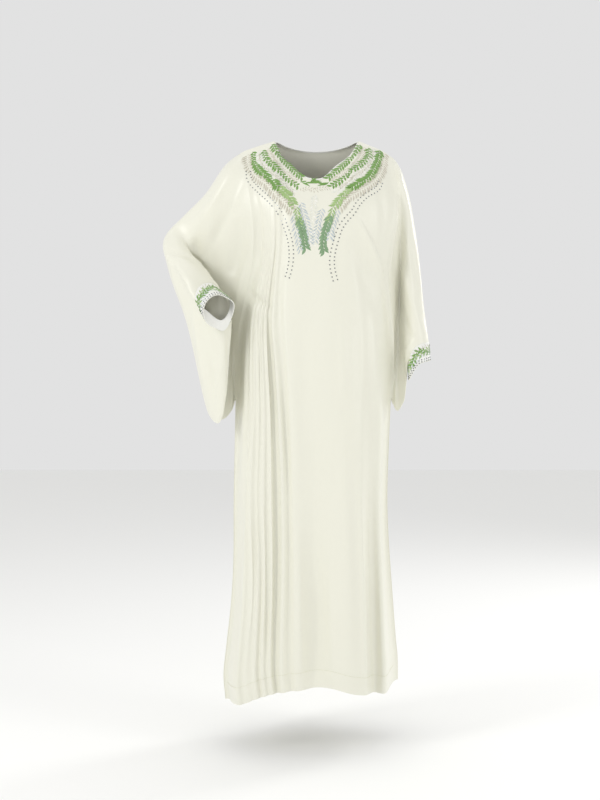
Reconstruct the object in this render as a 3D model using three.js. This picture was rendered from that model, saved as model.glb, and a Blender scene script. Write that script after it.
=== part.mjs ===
// Boubou: a floor-length batwing kaftan of ivory satin, hollow and open as it is worn.
// The front faces -Y, +X is the wearer's left and +Z is up. Sizes are in millimetres.
// The origin lies midway between the two points where the shoulder seams meet the neck,
// on the line of the shoulder seams.
import * as THREE from 'three';

// Driving dimensions
const wallThickness = 2;
const seamGap = 0.3;
const neckHalfWidth = 104;
const wingJoinHeight = -640;
const shoulderRounding = 130;
const seamFoldDepth = 9;
const bindingWidth = 4;
const bindingGap = 0.7;
const bindingCornerGap = 1.6;
const neckMiddle = new THREE.Vector3(0, -15, -35);

// How finely the cloth is divided
const armholeRows = 16;
const skirtRows = 12;
const sleeveSteps = 16;
const cuffSteps = 3;

const ivorySatin = { color: 0xf1f1df, roughness: 0.42, metalness: 0 };
const whiteCuffSatin = { color: 0xf4f4ee, roughness: 0.5, metalness: 0 };

// The shoulder seams, from the right armhole to the neck and from the neck to the left armhole
const shoulderSeams = [
  { x: -178, z: -25 },
  { x: -140, z: -12 },
  { x: -104, z: -1 },
  { x: 104, z: -1 },
  { x: 161, z: -24 },
  { x: 188, z: -42 },
];

// The neck edge: a soft V in front and a shallow curve behind
const frontNeck = [
  { x: -104, y: 0, z: -1 },
  { x: -90, y: -20, z: -37 },
  { x: -56, y: -50, z: -75 },
  { x: -31, y: -72, z: -97 },
  { x: -6, y: -84, z: -105 },
  { x: 17, y: -82, z: -101 },
  { x: 47, y: -57, z: -71 },
  { x: 83, y: -25, z: -38 },
  { x: 104, y: 0, z: -1 },
];
const backNeck = [
  { x: -104, y: 0, z: -1 },
  { x: -80, y: 27, z: -12 },
  { x: -40, y: 46, z: -21 },
  { x: 0, y: 52, z: -24 },
  { x: 40, y: 46, z: -21 },
  { x: 80, y: 27, z: -12 },
  { x: 104, y: 0, z: -1 },
];

// The lines on which body and sleeves are joined, from the shoulder to the wing join
const rightArmholeFront = [
  { x: -178, y: 0, z: -25 },
  { x: -172, y: -52, z: -80 },
  { x: -162, y: -80, z: -150 },
  { x: -154, y: -80, z: -220 },
  { x: -157, y: -58, z: -300 },
  { x: -173, y: -35, z: -380 },
  { x: -192, y: -12, z: -460 },
  { x: -200, y: 8, z: -550 },
  { x: -202, y: 25, z: -640 },
];
const rightArmholeBack = [
  { x: -178, y: 0, z: -25 },
  { x: -172, y: 52, z: -80 },
  { x: -166, y: 80, z: -150 },
  { x: -162, y: 92, z: -250 },
  { x: -166, y: 88, z: -350 },
  { x: -180, y: 76, z: -450 },
  { x: -195, y: 56, z: -550 },
  { x: -202, y: 25, z: -640 },
];
const leftArmholeFront = [
  { x: 188, y: 0, z: -42 },
  { x: 192, y: -48, z: -105 },
  { x: 194, y: -72, z: -190 },
  { x: 184, y: -70, z: -270 },
  { x: 174, y: -56, z: -335 },
  { x: 181, y: -42, z: -400 },
  { x: 190, y: -22, z: -480 },
  { x: 192, y: 0, z: -560 },
  { x: 186, y: 22, z: -640 },
];
const leftArmholeBack = [
  { x: 188, y: 0, z: -42 },
  { x: 190, y: 50, z: -105 },
  { x: 190, y: 76, z: -190 },
  { x: 186, y: 86, z: -300 },
  { x: 184, y: 84, z: -400 },
  { x: 186, y: 68, z: -500 },
  { x: 188, y: 44, z: -590 },
  { x: 186, y: 22, z: -640 },
];

// The side seams of the skirt, from the wing join to the hem
const rightSideSeam = [
  { x: -202, y: 25, z: -640 },
  { x: -204, y: 22, z: -738 },
  { x: -207, y: 20, z: -884 },
  { x: -208, y: 20, z: -1040 },
  { x: -214, y: 20, z: -1147 },
  { x: -226, y: 17, z: -1257 },
  { x: -233, y: 12, z: -1330 },
  { x: -228, y: 8, z: -1390 },
];
const leftSideSeam = [
  { x: 186, y: 22, z: -640 },
  { x: 182, y: 23, z: -738 },
  { x: 178, y: 24, z: -884 },
  { x: 181, y: 26, z: -977 },
  { x: 194, y: 33, z: -1155 },
  { x: 201, y: 41, z: -1241 },
  { x: 206, y: 47, z: -1289 },
  { x: 207, y: 50, z: -1350 },
];

// Depth of the body's middle line, in front of and behind the shoulder seams
const bodyDepths = [
  { z: 0, front: 40, back: 48 },
  { z: -60, front: 70, back: 72 },
  { z: -110, front: 97, back: 88 },
  { z: -175, front: 128, back: 102 },
  { z: -240, front: 132, back: 106 },
  { z: -400, front: 126, back: 100 },
  { z: -560, front: 127, back: 122 },
  { z: -900, front: 131, back: 134 },
  { z: -1350, front: 150, back: 150 },
];

// The hem's height across the front and the back, dropping towards the right side seam
const frontHem = [
  { x: -228, z: -1390 },
  { x: -182, z: -1379 },
  { x: -150, z: -1361 },
  { x: -99, z: -1342 },
  { x: -20, z: -1330 },
  { x: 39, z: -1329 },
  { x: 100, z: -1345 },
  { x: 165, z: -1353 },
  { x: 207, z: -1350 },
];
const backHem = [
  { x: -228, z: -1390 },
  { x: -150, z: -1372 },
  { x: 0, z: -1352 },
  { x: 140, z: -1348 },
  { x: 207, z: -1350 },
];

// Fold lines run from the top edge to the hem. The first seven columns give x at the top edge,
// bust, waist, hip, thigh, knee and hem; the next six say how far the line stands proud there,
// from the bust down; steps is the number of divisions up to the next line.
const levelNames = ['top', 'bust', 'waist', 'hip', 'thigh', 'knee', 'hem'];
const levelPlaces = [0, 0.244, 0.61, 1, 1.31, 1.66, 2];
const foldColumns = [...levelNames, 'proudBust', 'proudWaist', 'proudHip', 'proudThigh',
  'proudKnee', 'proudHem', 'steps'];
const frontFolds = [
  [-170, -146, -163, -183, -199, -204, -218, 0, 0, -2, -3, -3, -4, 2],
  [-166, -143, -159, -177, -192, -197, -209, 0, 0, 2, 2, 3, 4, 1],
  [-162, -140, -154, -170, -185, -189, -200, 0, -1, -3, -4, -4, -4, 1],
  [-158, -137, -149, -164, -177, -180, -189, 0, 1, 2, 3, 4, 4, 2],
  [-154, -133, -145, -158, -168, -169, -177, 0, -2, -3, -4, -5, -5, 1],
  [-150, -130, -141, -152, -161, -160, -165, 0, 1, 2, 2, 3, 3, 1],
  [-147, -127, -137, -147, -154, -152, -155, 0, -1, -2, -3, -1, -1, 1],
  [-142, -123, -133, -141, -146, -144, -145, 0, 1, 2, 3, 4, 4, 2],
  [-138, -119, -129, -135, -138, -135, -135, 0, -2, -3, -4, -5, -5, 1],
  [-134, -116, -125, -129, -130, -127, -126, 0, 1, 2, 3, 4, 4, 2],
  [-130, -112, -121, -122, -121, -118, -117, 0, -2, -3, -4, -4, -3, 1],
  [-125, -108, -117, -115, -111, -109, -107, 0, 2, 3, 4, 4, 4, 2],
  [-120, -103, -112, -107, -99, -99, -97, 0, -4, -6, -7, -8, -8, 2],
  [-112, -97, -103, -95, -85, -84, -82, 2, 3, 5, 6, 7, 7, 2],
  [-104, -90, -92, -81, -69, -66, -62, 0, -3, -5, -5, -4, -4, 1],
  [-92, -70, -76, -63, -56, -50, -46, 1, 2, 3, 4, 6, 7, 4],
  [-6, -12, -18, -10, -5, -4, -5, -2, -1, -2, -5, -10, -15, 4],
  [50, 48, 50, 60, 63, 67, 71, 0, 1, 2, 5, 10, 13, 3],
  [104, 88, 96, 104, 110, 113, 114, 1, 3, 5, 6, 8, 10, 2],
  [125, 112, 118, 128, 131, 135, 139, 0, 0, -4, -9, -16, -22, 2],
  [150, 148, 142, 157, 158, 162, 167, 0, 0, 2, 4, 8, 12, 2],
  [172, 176, 160, 174, 170, 177, 184, 0, 0, -2, -4, -12, -24, 2],
];
const backFolds = [
  [-150, -140, -145, -178, -190, -192, -204, 0, 2, 3, 4, 6, 8, 2],
  [-125, -118, -116, -140, -152, -158, -168, 0, -3, -5, -7, -9, -12, 2],
  [-104, -92, -84, -98, -108, -116, -124, 1, 3, 4, 6, 9, 12, 3],
  [-40, -46, -40, -52, -58, -62, -66, 0, -3, -5, -7, -10, -14, 3],
  [0, 2, 6, 4, 0, -4, -6, 0, 2, 4, 6, 9, 13, 3],
  [40, 46, 44, 50, 52, 54, 56, 0, -2, -4, -6, -9, -13, 3],
  [104, 92, 84, 92, 96, 104, 108, 1, 3, 4, 6, 8, 11, 2],
  [135, 132, 122, 132, 136, 142, 146, 0, -3, -4, -6, -9, -12, 2],
  [165, 164, 152, 162, 162, 168, 176, 0, 1, 2, 4, 6, 8, 2],
];

// Sleeve rings. Each runs over the arm at overX, overY and overZ, round the arm's hollow with its
// middle at armX, armY and armZ, leaves it past kneeX, kneeY and kneeZ and closes at the under-arm
// seam at seamX, seamY and seamZ. facing is the turn of its front side in degrees from -Y towards
// +X. frontShare flattens the front side at the elbow's inner bend. frontFall and backFall say over
// what length the two sides close up to the parting, which is half their gap.
const ringColumns = ['place', 'overX', 'overY', 'overZ', 'armX', 'armY', 'armZ', 'kneeX', 'kneeY',
  'kneeZ', 'seamX', 'seamY', 'seamZ', 'facing', 'frontShare', 'frontFall', 'backFall',
  'parting'];
const rightSleeveRings = [
  [0.13, -224, 4, -58, -222, 6, -114, -219, 12, -260, -210, 30, -664, 0, 1, 200, 260, 18],
  [0.26, -275, 14, -128, -268, 16, -176, -259, 20, -310, -229, 31, -687, 4, 0.95, 90, 200, 12],
  [0.38, -325, 24, -178, -314, 24, -222, -300, 25, -340, -251, 24, -690, 26, 0.7, 42, 170, 9],
  [0.5, -356, 18, -218, -338, 14, -258, -324, 10, -370, -268, 3, -672, 66, 0.45, 40, 130, 8],
  [0.6, -350, -14, -254, -328, -16, -289, -314, -18, -390, -254, -26, -692, 98, 0.55, 44, 110, 8],
  [0.7, -330, -46, -283, -310, -38, -313, -293, -42, -410, -236, -56, -690, 114, 0.8, 50, 90, 8],
  [0.8, -313, -72, -309, -294, -57, -337, -270, -62, -425, -222, -72, -632, 120, 1, 50, 80, 9],
  [0.88, -303, -90, -331, -282, -70, -355, -252, -74, -425, -216, -79, -548, 122, 1, 60, 80, 12],
  [0.95, -297, -104, -353, -271, -80, -371, -240, -82, -425, -213, -84, -474, 124, 1, 90, 90, 20],
  [1, -291, -116, -374, -262, -92, -386, -238, -88, -406, -214, -85, -424, 126, 1, 400, 400, 38],
];
const rightCuffEnd = [2, -268, -140, -409, -240, -116, -422, -224, -104, -430, -207, -92, -440,
  126, 1, 400, 400, 42];
const leftSleeveRings = [
  [0.14, 207, 2, -70, 205, 4, -128, 201, 12, -280, 196, 24, -662, 0, 1, 200, 260, 16],
  [0.3, 230, 6, -142, 220, 7, -196, 208, 15, -290, 203, 22, -668, 0, 1, 110, 160, 13],
  [0.48, 246, 6, -236, 225, 5, -278, 210, 13, -330, 209, 17, -662, 0, 1, 60, 100, 11],
  [0.64, 257, 1, -326, 231, -2, -356, 213, 6, -390, 214, 11, -652, 0, 1, 45, 70, 10],
  [0.78, 264, -6, -400, 236, -8, -422, 217, 0, -450, 219, 5, -640, 0, 1, 40, 60, 10],
  [0.9, 271, -12, -453, 242, -14, -468, 220, -6, -492, 222, 0, -612, 0, 1, 40, 50, 12],
  [0.96, 274, -15, -474, 245, -16, -486, 222, -9, -510, 225, -5, -576, 0, 1, 60, 70, 18],
  [1, 276, -17, -492, 247, -18, -502, 233, -14, -520, 227, -10, -545, 0, 1, 200, 200, 25],
];
const leftCuffEnd = [2, 281, -20, -541, 253, -21, -549, 239, -18, -568, 228, -14, -590,
  0, 1, 200, 200, 25];
const sampleCount = 160;

function readTable(rows, columns) {
  return rows.map((row) => Object.fromEntries(columns.map((name, index) => [name, row[index]])));
}

function mix(a, b, share) {
  return a + (b - a) * share;
}

function clamp01(value) {
  return Math.min(1, Math.max(0, value));
}

function softStep(value) {
  const share = clamp01(value);
  return share * share * (3 - 2 * share);
}

// A smooth curve through the values at rising or falling places
function smoothAt(places, values, at) {
  const falling = places[0] > places[places.length - 1];
  const xs = falling ? [...places].reverse() : places;
  const ys = falling ? [...values].reverse() : values;
  const last = xs.length - 1;
  if (at <= xs[0]) return ys[0];
  if (at >= xs[last]) return ys[last];
  let low = 0;
  while (xs[low + 1] < at) low += 1;
  const slope = (index) => {
    const before = Math.max(index - 1, 0);
    const after = Math.min(index + 1, last);
    return (ys[after] - ys[before]) / (xs[after] - xs[before]);
  };
  const span = xs[low + 1] - xs[low];
  const s = (at - xs[low]) / span;
  const s2 = s * s;
  const s3 = s2 * s;
  return (2 * s3 - 3 * s2 + 1) * ys[low] + (s3 - 2 * s2 + s) * span * slope(low)
    + (3 * s2 - 2 * s3) * ys[low + 1] + (s3 - s2) * span * slope(low + 1);
}

function lookUp(rows, key, column, at) {
  return smoothAt(rows.map((row) => row[key]), rows.map((row) => row[column]), at);
}

function straightLookUp(rows, x) {
  const next = Math.max(1, rows.findIndex((row) => row.x >= x));
  const [low, high] = [rows[next - 1], rows[next]];
  return mix(low.z, high.z, (x - low.x) / (high.x - low.x));
}

function evenPoints(rows, divisions) {
  const points = rows.map((row) => new THREE.Vector3(row.x, row.y, row.z));
  return new THREE.CatmullRomCurve3(points, false, 'centripetal').getSpacedPoints(divisions);
}

// The edge of a body panel: the armhole's points, then the side seam's
function panelEdge(armhole, sideSeam) {
  const upper = evenPoints(armhole, armholeRows);
  const lower = evenPoints(sideSeam, skirtRows);
  return [...upper, ...lower.slice(1)];
}

// Where a row of a panel lies: 0 at the top edge, 1 at the wing join and 2 at the hem
function rowPlace(row) {
  if (row <= armholeRows) return row / armholeRows;
  return 1 + (row - armholeRows) / skirtRows;
}

// Every column of a panel, as shares of the width and proud heights at each level
function panelColumns(foldTable, leftEdge, rightEdge) {
  const edgeX = (edge, place) => {
    const row = place <= 1 ? place * armholeRows : armholeRows + (place - 1) * skirtRows;
    const low = Math.min(Math.floor(row), edge.length - 2);
    return mix(edge[low].x, edge[low + 1].x, row - low);
  };
  const flat = [0, 0, 0, 0, 0, 0, 0];
  const lines = readTable(foldTable, foldColumns).map((fold) => ({
    shares: levelNames.map((name, level) => {
      const low = edgeX(leftEdge, levelPlaces[level]);
      const high = edgeX(rightEdge, levelPlaces[level]);
      return (fold[name] - low) / (high - low);
    }),
    proud: [0, fold.proudBust, fold.proudWaist, fold.proudHip, fold.proudThigh,
      fold.proudKnee, fold.proudHem],
    steps: fold.steps,
  }));
  lines.unshift({ shares: flat, proud: flat, steps: 2 });
  lines.push({ shares: flat.map(() => 1), proud: flat, steps: 1 });
  const columns = [];
  for (let line = 0; line < lines.length - 1; line += 1) {
    const { steps } = lines[line];
    for (let step = 0; step < steps; step += 1) {
      const share = step / steps;
      const round = softStep(share);
      columns.push({
        shares: lines[line].shares.map((v, level) => mix(v, lines[line + 1].shares[level], share)),
        proud: lines[line].proud.map((v, level) => mix(v, lines[line + 1].proud[level], round)),
      });
    }
  }
  const end = lines[lines.length - 1];
  columns.push({ shares: end.shares, proud: end.proud });
  return columns;
}

// The outer points of the front (facing -1) or back (facing 1) panel
function panelSurface({ facing, neck, hem, folds, leftEdge, rightEdge, depthName }) {
  const columns = panelColumns(folds, leftEdge, rightEdge);
  const lastRow = armholeRows + skirtRows;
  const dropShare = (edge, row) => (row <= armholeRows
    ? (edge[0].z - edge[row].z) / (edge[0].z - edge[armholeRows].z)
    : (edge[armholeRows].z - edge[row].z) / (edge[armholeRows].z - edge[lastRow].z));
  const grid = [];
  for (let row = 0; row <= lastRow; row += 1) {
    const place = rowPlace(row);
    const left = leftEdge[row];
    const right = rightEdge[row];
    const line = columns.map(({ shares, proud }) => {
      const share = smoothAt(levelPlaces, shares, place);
      const x = mix(left.x, right.x, share);
      const topX = mix(leftEdge[0].x, rightEdge[0].x, shares[0]);
      const onNeck = Math.abs(topX) < neckHalfWidth;
      const topY = onNeck ? lookUp(neck, 'x', 'y', topX) : 0;
      const topZ = onNeck ? lookUp(neck, 'x', 'z', topX) : straightLookUp(shoulderSeams, topX);
      const drop = mix(dropShare(leftEdge, row), dropShare(rightEdge, row), share);
      const hemX = mix(leftEdge[lastRow].x, rightEdge[lastRow].x, shares[levelNames.length - 1]);
      const z = row <= armholeRows
        ? mix(topZ, wingJoinHeight, drop)
        : mix(wingJoinHeight, lookUp(hem, 'x', 'z', hemX), drop);
      const edgeY = mix(left.y, right.y, share);
      const fromMiddle = Math.abs(2 * share - 1);
      const roundness = mix(1, 0.5, softStep((place - 0.5) / 0.6));
      const hump = Math.max(0, 1 - fromMiddle ** 2.6) ** roundness;
      const middleY = facing * lookUp(bodyDepths, 'z', depthName, z);
      const deepY = edgeY + (middleY - edgeY) * hump;
      const u = clamp01((topZ - z) / shoulderRounding);
      const rise = Math.sqrt(1 - (1 - u) ** 2);
      const insideY = topY + (deepY - topY) * rise;
      const nearEdge = softStep(Math.min(share, 1 - share) / 0.07);
      const awayFromSeam = softStep(Math.min(share, 1 - share) / 0.05);
      const relief = facing * awayFromSeam * smoothAt(levelPlaces, proud, place);
      return new THREE.Vector3(x, mix(edgeY, insideY, nearEdge) + relief, z);
    });
    line[0].copy(left);
    line[line.length - 1].copy(right);
    grid.push(line);
  }
  return grid;
}

// Outward normals at the points of a grid; sign turns them outwards
function gridNormals(grid, closed, sign) {
  const count = grid[0].length;
  return grid.map((line, row) => line.map((point, index) => {
    const above = grid[Math.max(row - 1, 0)][index];
    const below = grid[Math.min(row + 1, grid.length - 1)][index];
    const before = closed ? line[(index + count - 1) % count] : line[Math.max(index - 1, 0)];
    const after = closed ? line[(index + 1) % count] : line[Math.min(index + 1, count - 1)];
    const along = below.clone().sub(above);
    const across = after.clone().sub(before);
    return across.cross(along).multiplyScalar(sign).normalize();
  }));
}

function movedInward(grid, normals, distance) {
  return grid.map((line, row) => line.map((point, index) => point.clone()
    .addScaledVector(normals[row][index], -distance)));
}

function stepTowards(point, target, distance) {
  return point.clone().add(target.clone().sub(point).setLength(distance));
}

// Draws the last line of points back from a seam, by half the seam's gap
function drawBackRow(grid, row, nextRow, wanted = () => true) {
  const moved = grid[row].map((point, index) => (wanted(index)
    ? stepTowards(point, grid[nextRow][index], seamGap / 2) : point));
  return grid.map((line, index) => (index === row ? moved : line));
}

function drawBackSides(grid) {
  return grid.map((line) => {
    const last = line.length - 1;
    const moved = [...line];
    moved[0] = stepTowards(line[0], line[1], seamGap / 2);
    moved[last] = stepTowards(line[last], line[last - 1], seamGap / 2);
    return moved;
  });
}

// A closed solid between an outer and an inner grid of points
function wallGeometry(outer, inner, closed) {
  const rows = outer.length;
  const count = outer[0].length;
  const positions = [];
  [outer, inner].forEach((grid) => grid.forEach((line) => line.forEach((point) => {
    positions.push(point.x, point.y, point.z);
  })));
  const outerAt = (row, index) => row * count + (index % count);
  const innerAt = (row, index) => rows * count + outerAt(row, index);
  const faces = [];
  const quad = (a, b, c, d) => faces.push(a, b, c, a, c, d);
  const spans = closed ? count : count - 1;
  for (let row = 0; row < rows - 1; row += 1) {
    for (let index = 0; index < spans; index += 1) {
      quad(outerAt(row, index), outerAt(row + 1, index),
        outerAt(row + 1, index + 1), outerAt(row, index + 1));
      quad(innerAt(row, index), innerAt(row, index + 1),
        innerAt(row + 1, index + 1), innerAt(row + 1, index));
    }
  }
  for (let index = 0; index < spans; index += 1) {
    quad(outerAt(0, index), outerAt(0, index + 1), innerAt(0, index + 1), innerAt(0, index));
    quad(outerAt(rows - 1, index), innerAt(rows - 1, index),
      innerAt(rows - 1, index + 1), outerAt(rows - 1, index + 1));
  }
  if (!closed) {
    for (let row = 0; row < rows - 1; row += 1) {
      quad(outerAt(row, 0), innerAt(row, 0), innerAt(row + 1, 0), outerAt(row + 1, 0));
      quad(outerAt(row, count - 1), outerAt(row + 1, count - 1),
        innerAt(row + 1, count - 1), innerAt(row, count - 1));
    }
  }
  return facingOut(positions, faces);
}

function facingOut(positions, faces) {
  const corner = (index) => new THREE.Vector3().fromArray(positions, index * 3);
  let volume = 0;
  for (let face = 0; face < faces.length; face += 3) {
    const [a, b, c] = [corner(faces[face]), corner(faces[face + 1]), corner(faces[face + 2])];
    volume += a.dot(b.cross(c));
  }
  if (volume < 0) {
    for (let face = 0; face < faces.length; face += 3) {
      [faces[face + 1], faces[face + 2]] = [faces[face + 2], faces[face + 1]];
    }
  }
  const geometry = new THREE.BufferGeometry();
  geometry.setAttribute('position', new THREE.Float32BufferAttribute(positions, 3));
  geometry.setIndex(faces);
  geometry.computeVertexNormals();
  return geometry;
}

// One sleeve ring: a round over the arm, then two sides that close up to the seam. Its two sides
// stand off a middle line that runs from over the arm to the seam.
function sleeveRing(ring) {
  const over = new THREE.Vector3(ring.overX, ring.overY, ring.overZ);
  const arm = new THREE.Vector3(ring.armX, ring.armY, ring.armZ);
  const knee = new THREE.Vector3(ring.kneeX, ring.kneeY, ring.kneeZ);
  const seam = new THREE.Vector3(ring.seamX, ring.seamY, ring.seamZ);
  const radius = over.distanceTo(arm);
  const middleLine = new THREE.CatmullRomCurve3([over, arm, knee, seam], false, 'centripetal');
  const fall = middleLine.getLength() - radius;
  const down = seam.clone().sub(over).normalize();
  const turn = THREE.MathUtils.degToRad(ring.facing);
  const frontward = new THREE.Vector3(Math.sin(turn), -Math.cos(turn), 0);
  frontward.addScaledVector(down, -frontward.dot(down)).normalize();
  const halfRing = (direction, closing, widthShare) => {
    const points = [];
    for (let sample = 0; sample <= sampleCount; sample += 1) {
      const share = (sample / sampleCount) ** 1.5;
      const reach = share * (radius + fall) - radius;
      const narrowed = ring.parting + (radius * widthShare - ring.parting)
        * Math.exp(-((reach / closing) ** 2));
      const out = reach < 0
        ? widthShare * Math.sqrt(Math.max(0, radius ** 2 - reach ** 2))
        : narrowed * Math.sqrt(Math.max(0, 1 - (reach / fall) ** 8));
      points.push(middleLine.getPointAt(share).addScaledVector(direction, out));
    }
    return evenAlong(points, armholeRows);
  };
  const front = halfRing(frontward, ring.frontFall, ring.frontShare);
  const back = halfRing(frontward.clone().negate(), ring.backFall, 1);
  return [...front, ...back.slice(1, -1).reverse()];
}

function evenAlong(points, divisions) {
  const lengths = [0];
  for (let index = 1; index < points.length; index += 1) {
    lengths.push(lengths[index - 1] + points[index].distanceTo(points[index - 1]));
  }
  const total = lengths[lengths.length - 1];
  const picked = [];
  let low = 0;
  for (let division = 0; division <= divisions; division += 1) {
    const wanted = (division / divisions) * total;
    while (low < points.length - 2 && lengths[low + 1] < wanted) low += 1;
    const share = (wanted - lengths[low]) / (lengths[low + 1] - lengths[low]);
    picked.push(points[low].clone().lerp(points[low + 1], share));
  }
  return picked;
}

// The ring of points round an armhole, from the two panels' columns at that edge
function armholeRing(front, back, column) {
  const down = front.slice(0, armholeRows + 1).map((line) => line.at(column));
  const up = back.slice(1, armholeRows).map((line) => line.at(column)).reverse();
  return [...down, ...up];
}

// Every ring of a sleeve and its cuff, outer and inner points
function sleeveSurface({ front, back, frontInner, backInner, column, inside, table, cuffEnd, side }) {
  const armhole = armholeRing(front, back, column);
  const ghost = armholeRing(front, back, inside);
  const rows = readTable([...table, cuffEnd], ringColumns);
  const rings = rows.map(sleeveRing);
  const places = [-0.06, 0, ...rows.map((row) => row.place)];
  const keys = [ghost, armhole, ...rings];
  const sleevePlaces = places.slice(0, -1);
  const sleeveKeys = keys.slice(0, -1);
  const grid = [];
  for (let step = 0; step <= sleeveSteps; step += 1) {
    grid.push(ringAt(sleevePlaces, sleeveKeys, step / sleeveSteps));
  }
  const cuffStart = grid[sleeveSteps];
  const end = rings[rings.length - 1];
  for (let step = 1; step <= cuffSteps; step += 1) {
    grid.push(cuffStart.map((point, index) => point.clone().lerp(end[index], step / cuffSteps)));
  }
  const normals = gridNormals([ghost, ...grid], true, side).slice(1);
  const onSleeve = gridNormals(grid.slice(0, sleeveSteps + 1), true, side).at(-1);
  const [onCuff] = gridNormals(grid.slice(sleeveSteps), true, side);
  normals[sleeveSteps] = onCuff.map((normal, index) => averageNormals(onSleeve[index], normal));
  const inner = grid.map((line, row) => ringInside(line, normals[row]));
  const underArmCorner = inner[0][armholeRows];
  inner[0] = armholeRing(frontInner, backInner, column);
  inner[0][armholeRows] = underArmCorner;
  return { outer: grid, inner };
}

// The inner points of a ring, set in deeper at the sharp fold of the under-arm seam
function ringInside(line, normals) {
  const inner = line.map((point, index) => point.clone()
    .addScaledVector(normals[index], -wallThickness));
  const between = line[armholeRows - 1].clone().lerp(line[armholeRows + 1], 0.5);
  inner[armholeRows] = stepTowards(line[armholeRows], between, seamFoldDepth);
  return inner;
}

function ringAt(places, keys, place) {
  return keys[0].map((unused, index) => new THREE.Vector3(
    smoothAt(places, keys.map((ring) => ring[index].x), place),
    smoothAt(places, keys.map((ring) => ring[index].y), place),
    smoothAt(places, keys.map((ring) => ring[index].z), place),
  ));
}

// The narrow band that carries the neck edge on into the opening
function bindingGeometry(front, frontNormals, back, backNormals) {
  const edgeOf = (grid, normals, reach) => grid[0]
    .map((point, index) => ({ point, normal: normals[0][index] }))
    .filter(({ point }) => Math.abs(point.x) < neckHalfWidth + reach);
  const frontEdge = edgeOf(front, frontNormals, 0.5);
  const backEdge = edgeOf(back, backNormals, -0.5);
  const stations = [...frontEdge, ...backEdge.reverse()];
  const sections = stations.map(({ point, normal }, index) => {
    const before = stations[(index + stations.length - 1) % stations.length].point;
    const after = stations[(index + 1) % stations.length].point;
    const inward = after.clone().sub(before).cross(normal).normalize();
    if (inward.dot(neckMiddle.clone().sub(point)) < 0) inward.negate();
    const atCorner = Math.abs(point.x) > neckHalfWidth - 0.5;
    const gap = atCorner ? bindingCornerGap : bindingGap;
    const at = (reach, depth) => point.clone()
      .addScaledVector(inward, reach).addScaledVector(normal, -depth);
    return [at(gap, 0), at(gap + bindingWidth, 0),
      at(gap + bindingWidth, wallThickness), at(gap, wallThickness)];
  });
  const positions = sections.flat().flatMap((point) => point.toArray());
  const faces = [];
  sections.forEach((section, index) => {
    const here = index * 4;
    const next = ((index + 1) % sections.length) * 4;
    for (let corner = 0; corner < 4; corner += 1) {
      const turn = (corner + 1) % 4;
      faces.push(here + corner, next + corner, next + turn);
      faces.push(here + corner, next + turn, here + turn);
    }
  });
  return facingOut(positions, faces);
}

function averageNormals(...normals) {
  const sum = new THREE.Vector3();
  normals.forEach((normal) => sum.add(normal));
  return sum.normalize();
}

// Makes the two panels' normals agree along the shoulder seams and the side seams
function shareSeamNormals(frontNormals, front, backNormals, back, joinNormals) {
  const frontNeck = (index) => Math.abs(front[0][index].x) < neckHalfWidth - 0.5;
  const up = new THREE.Vector3(0, 0, 1);
  frontNormals[0].forEach((normal, index) => {
    if (!frontNeck(index)) normal.copy(averageNormals(up, new THREE.Vector3(normal.x, 0, 0)));
  });
  backNormals[0].forEach((normal, index) => {
    if (Math.abs(back[0][index].x) >= neckHalfWidth - 0.5) {
      normal.copy(averageNormals(up, new THREE.Vector3(normal.x, 0, 0)));
    }
  });
  [0, -1].forEach((column) => {
    const join = joinNormals[column === 0 ? 0 : 1];
    frontNormals[armholeRows].at(column).copy(join);
    backNormals[armholeRows].at(column).copy(join);
    frontNormals[0].at(column).copy(up);
    backNormals[0].at(column).copy(up);
    for (let row = armholeRows + 1; row < frontNormals.length; row += 1) {
      const shared = averageNormals(frontNormals[row].at(column), backNormals[row].at(column));
      frontNormals[row].at(column).copy(shared);
      backNormals[row].at(column).copy(shared);
    }
  });
}

function panelWall(outer, inner) {
  const onShoulder = (index) => Math.abs(outer[0][index].x) > neckHalfWidth - 0.5;
  const trimmed = [outer, inner].map((grid) => drawBackSides(drawBackRow(grid, 0, 1, onShoulder)));
  return wallGeometry(trimmed[0], trimmed[1], false);
}

function tubeWall(outer, inner, firstRow, lastRow, seamAtEnd) {
  const trimmed = [outer, inner].map((grid) => {
    const rows = grid.slice(firstRow, lastRow + 1);
    const started = drawBackRow(rows, 0, 1);
    return seamAtEnd ? drawBackRow(started, rows.length - 1, rows.length - 2) : started;
  });
  return wallGeometry(trimmed[0], trimmed[1], true);
}

function namedMesh(name, geometry, finish) {
  const mesh = new THREE.Mesh(geometry, new THREE.MeshStandardMaterial(finish));
  mesh.name = name;
  return mesh;
}

const front = panelSurface({
  facing: -1,
  neck: frontNeck,
  hem: frontHem,
  folds: frontFolds,
  leftEdge: panelEdge(rightArmholeFront, rightSideSeam),
  rightEdge: panelEdge(leftArmholeFront, leftSideSeam),
  depthName: 'front',
});
const back = panelSurface({
  facing: 1,
  neck: backNeck,
  hem: backHem,
  folds: backFolds,
  leftEdge: panelEdge(rightArmholeBack, rightSideSeam),
  rightEdge: panelEdge(leftArmholeBack, leftSideSeam),
  depthName: 'back',
});
const frontNormals = gridNormals(front, false, -1);
const backNormals = gridNormals(back, false, 1);
const underArmNormals = [new THREE.Vector3(-0.8, 0, -0.6), new THREE.Vector3(0.8, 0, -0.6)];
shareSeamNormals(frontNormals, front, backNormals, back, underArmNormals);
const frontInner = movedInward(front, frontNormals, wallThickness);
const backInner = movedInward(back, backNormals, wallThickness);
const panels = { front, back, frontInner, backInner };
const rightSleeve = sleeveSurface({
  ...panels, column: 0, inside: 2, table: rightSleeveRings, cuffEnd: rightCuffEnd, side: -1,
});
const leftSleeve = sleeveSurface({
  ...panels, column: -1, inside: -3, table: leftSleeveRings, cuffEnd: leftCuffEnd, side: 1,
});
const lastStep = sleeveSteps + cuffSteps;

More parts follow.
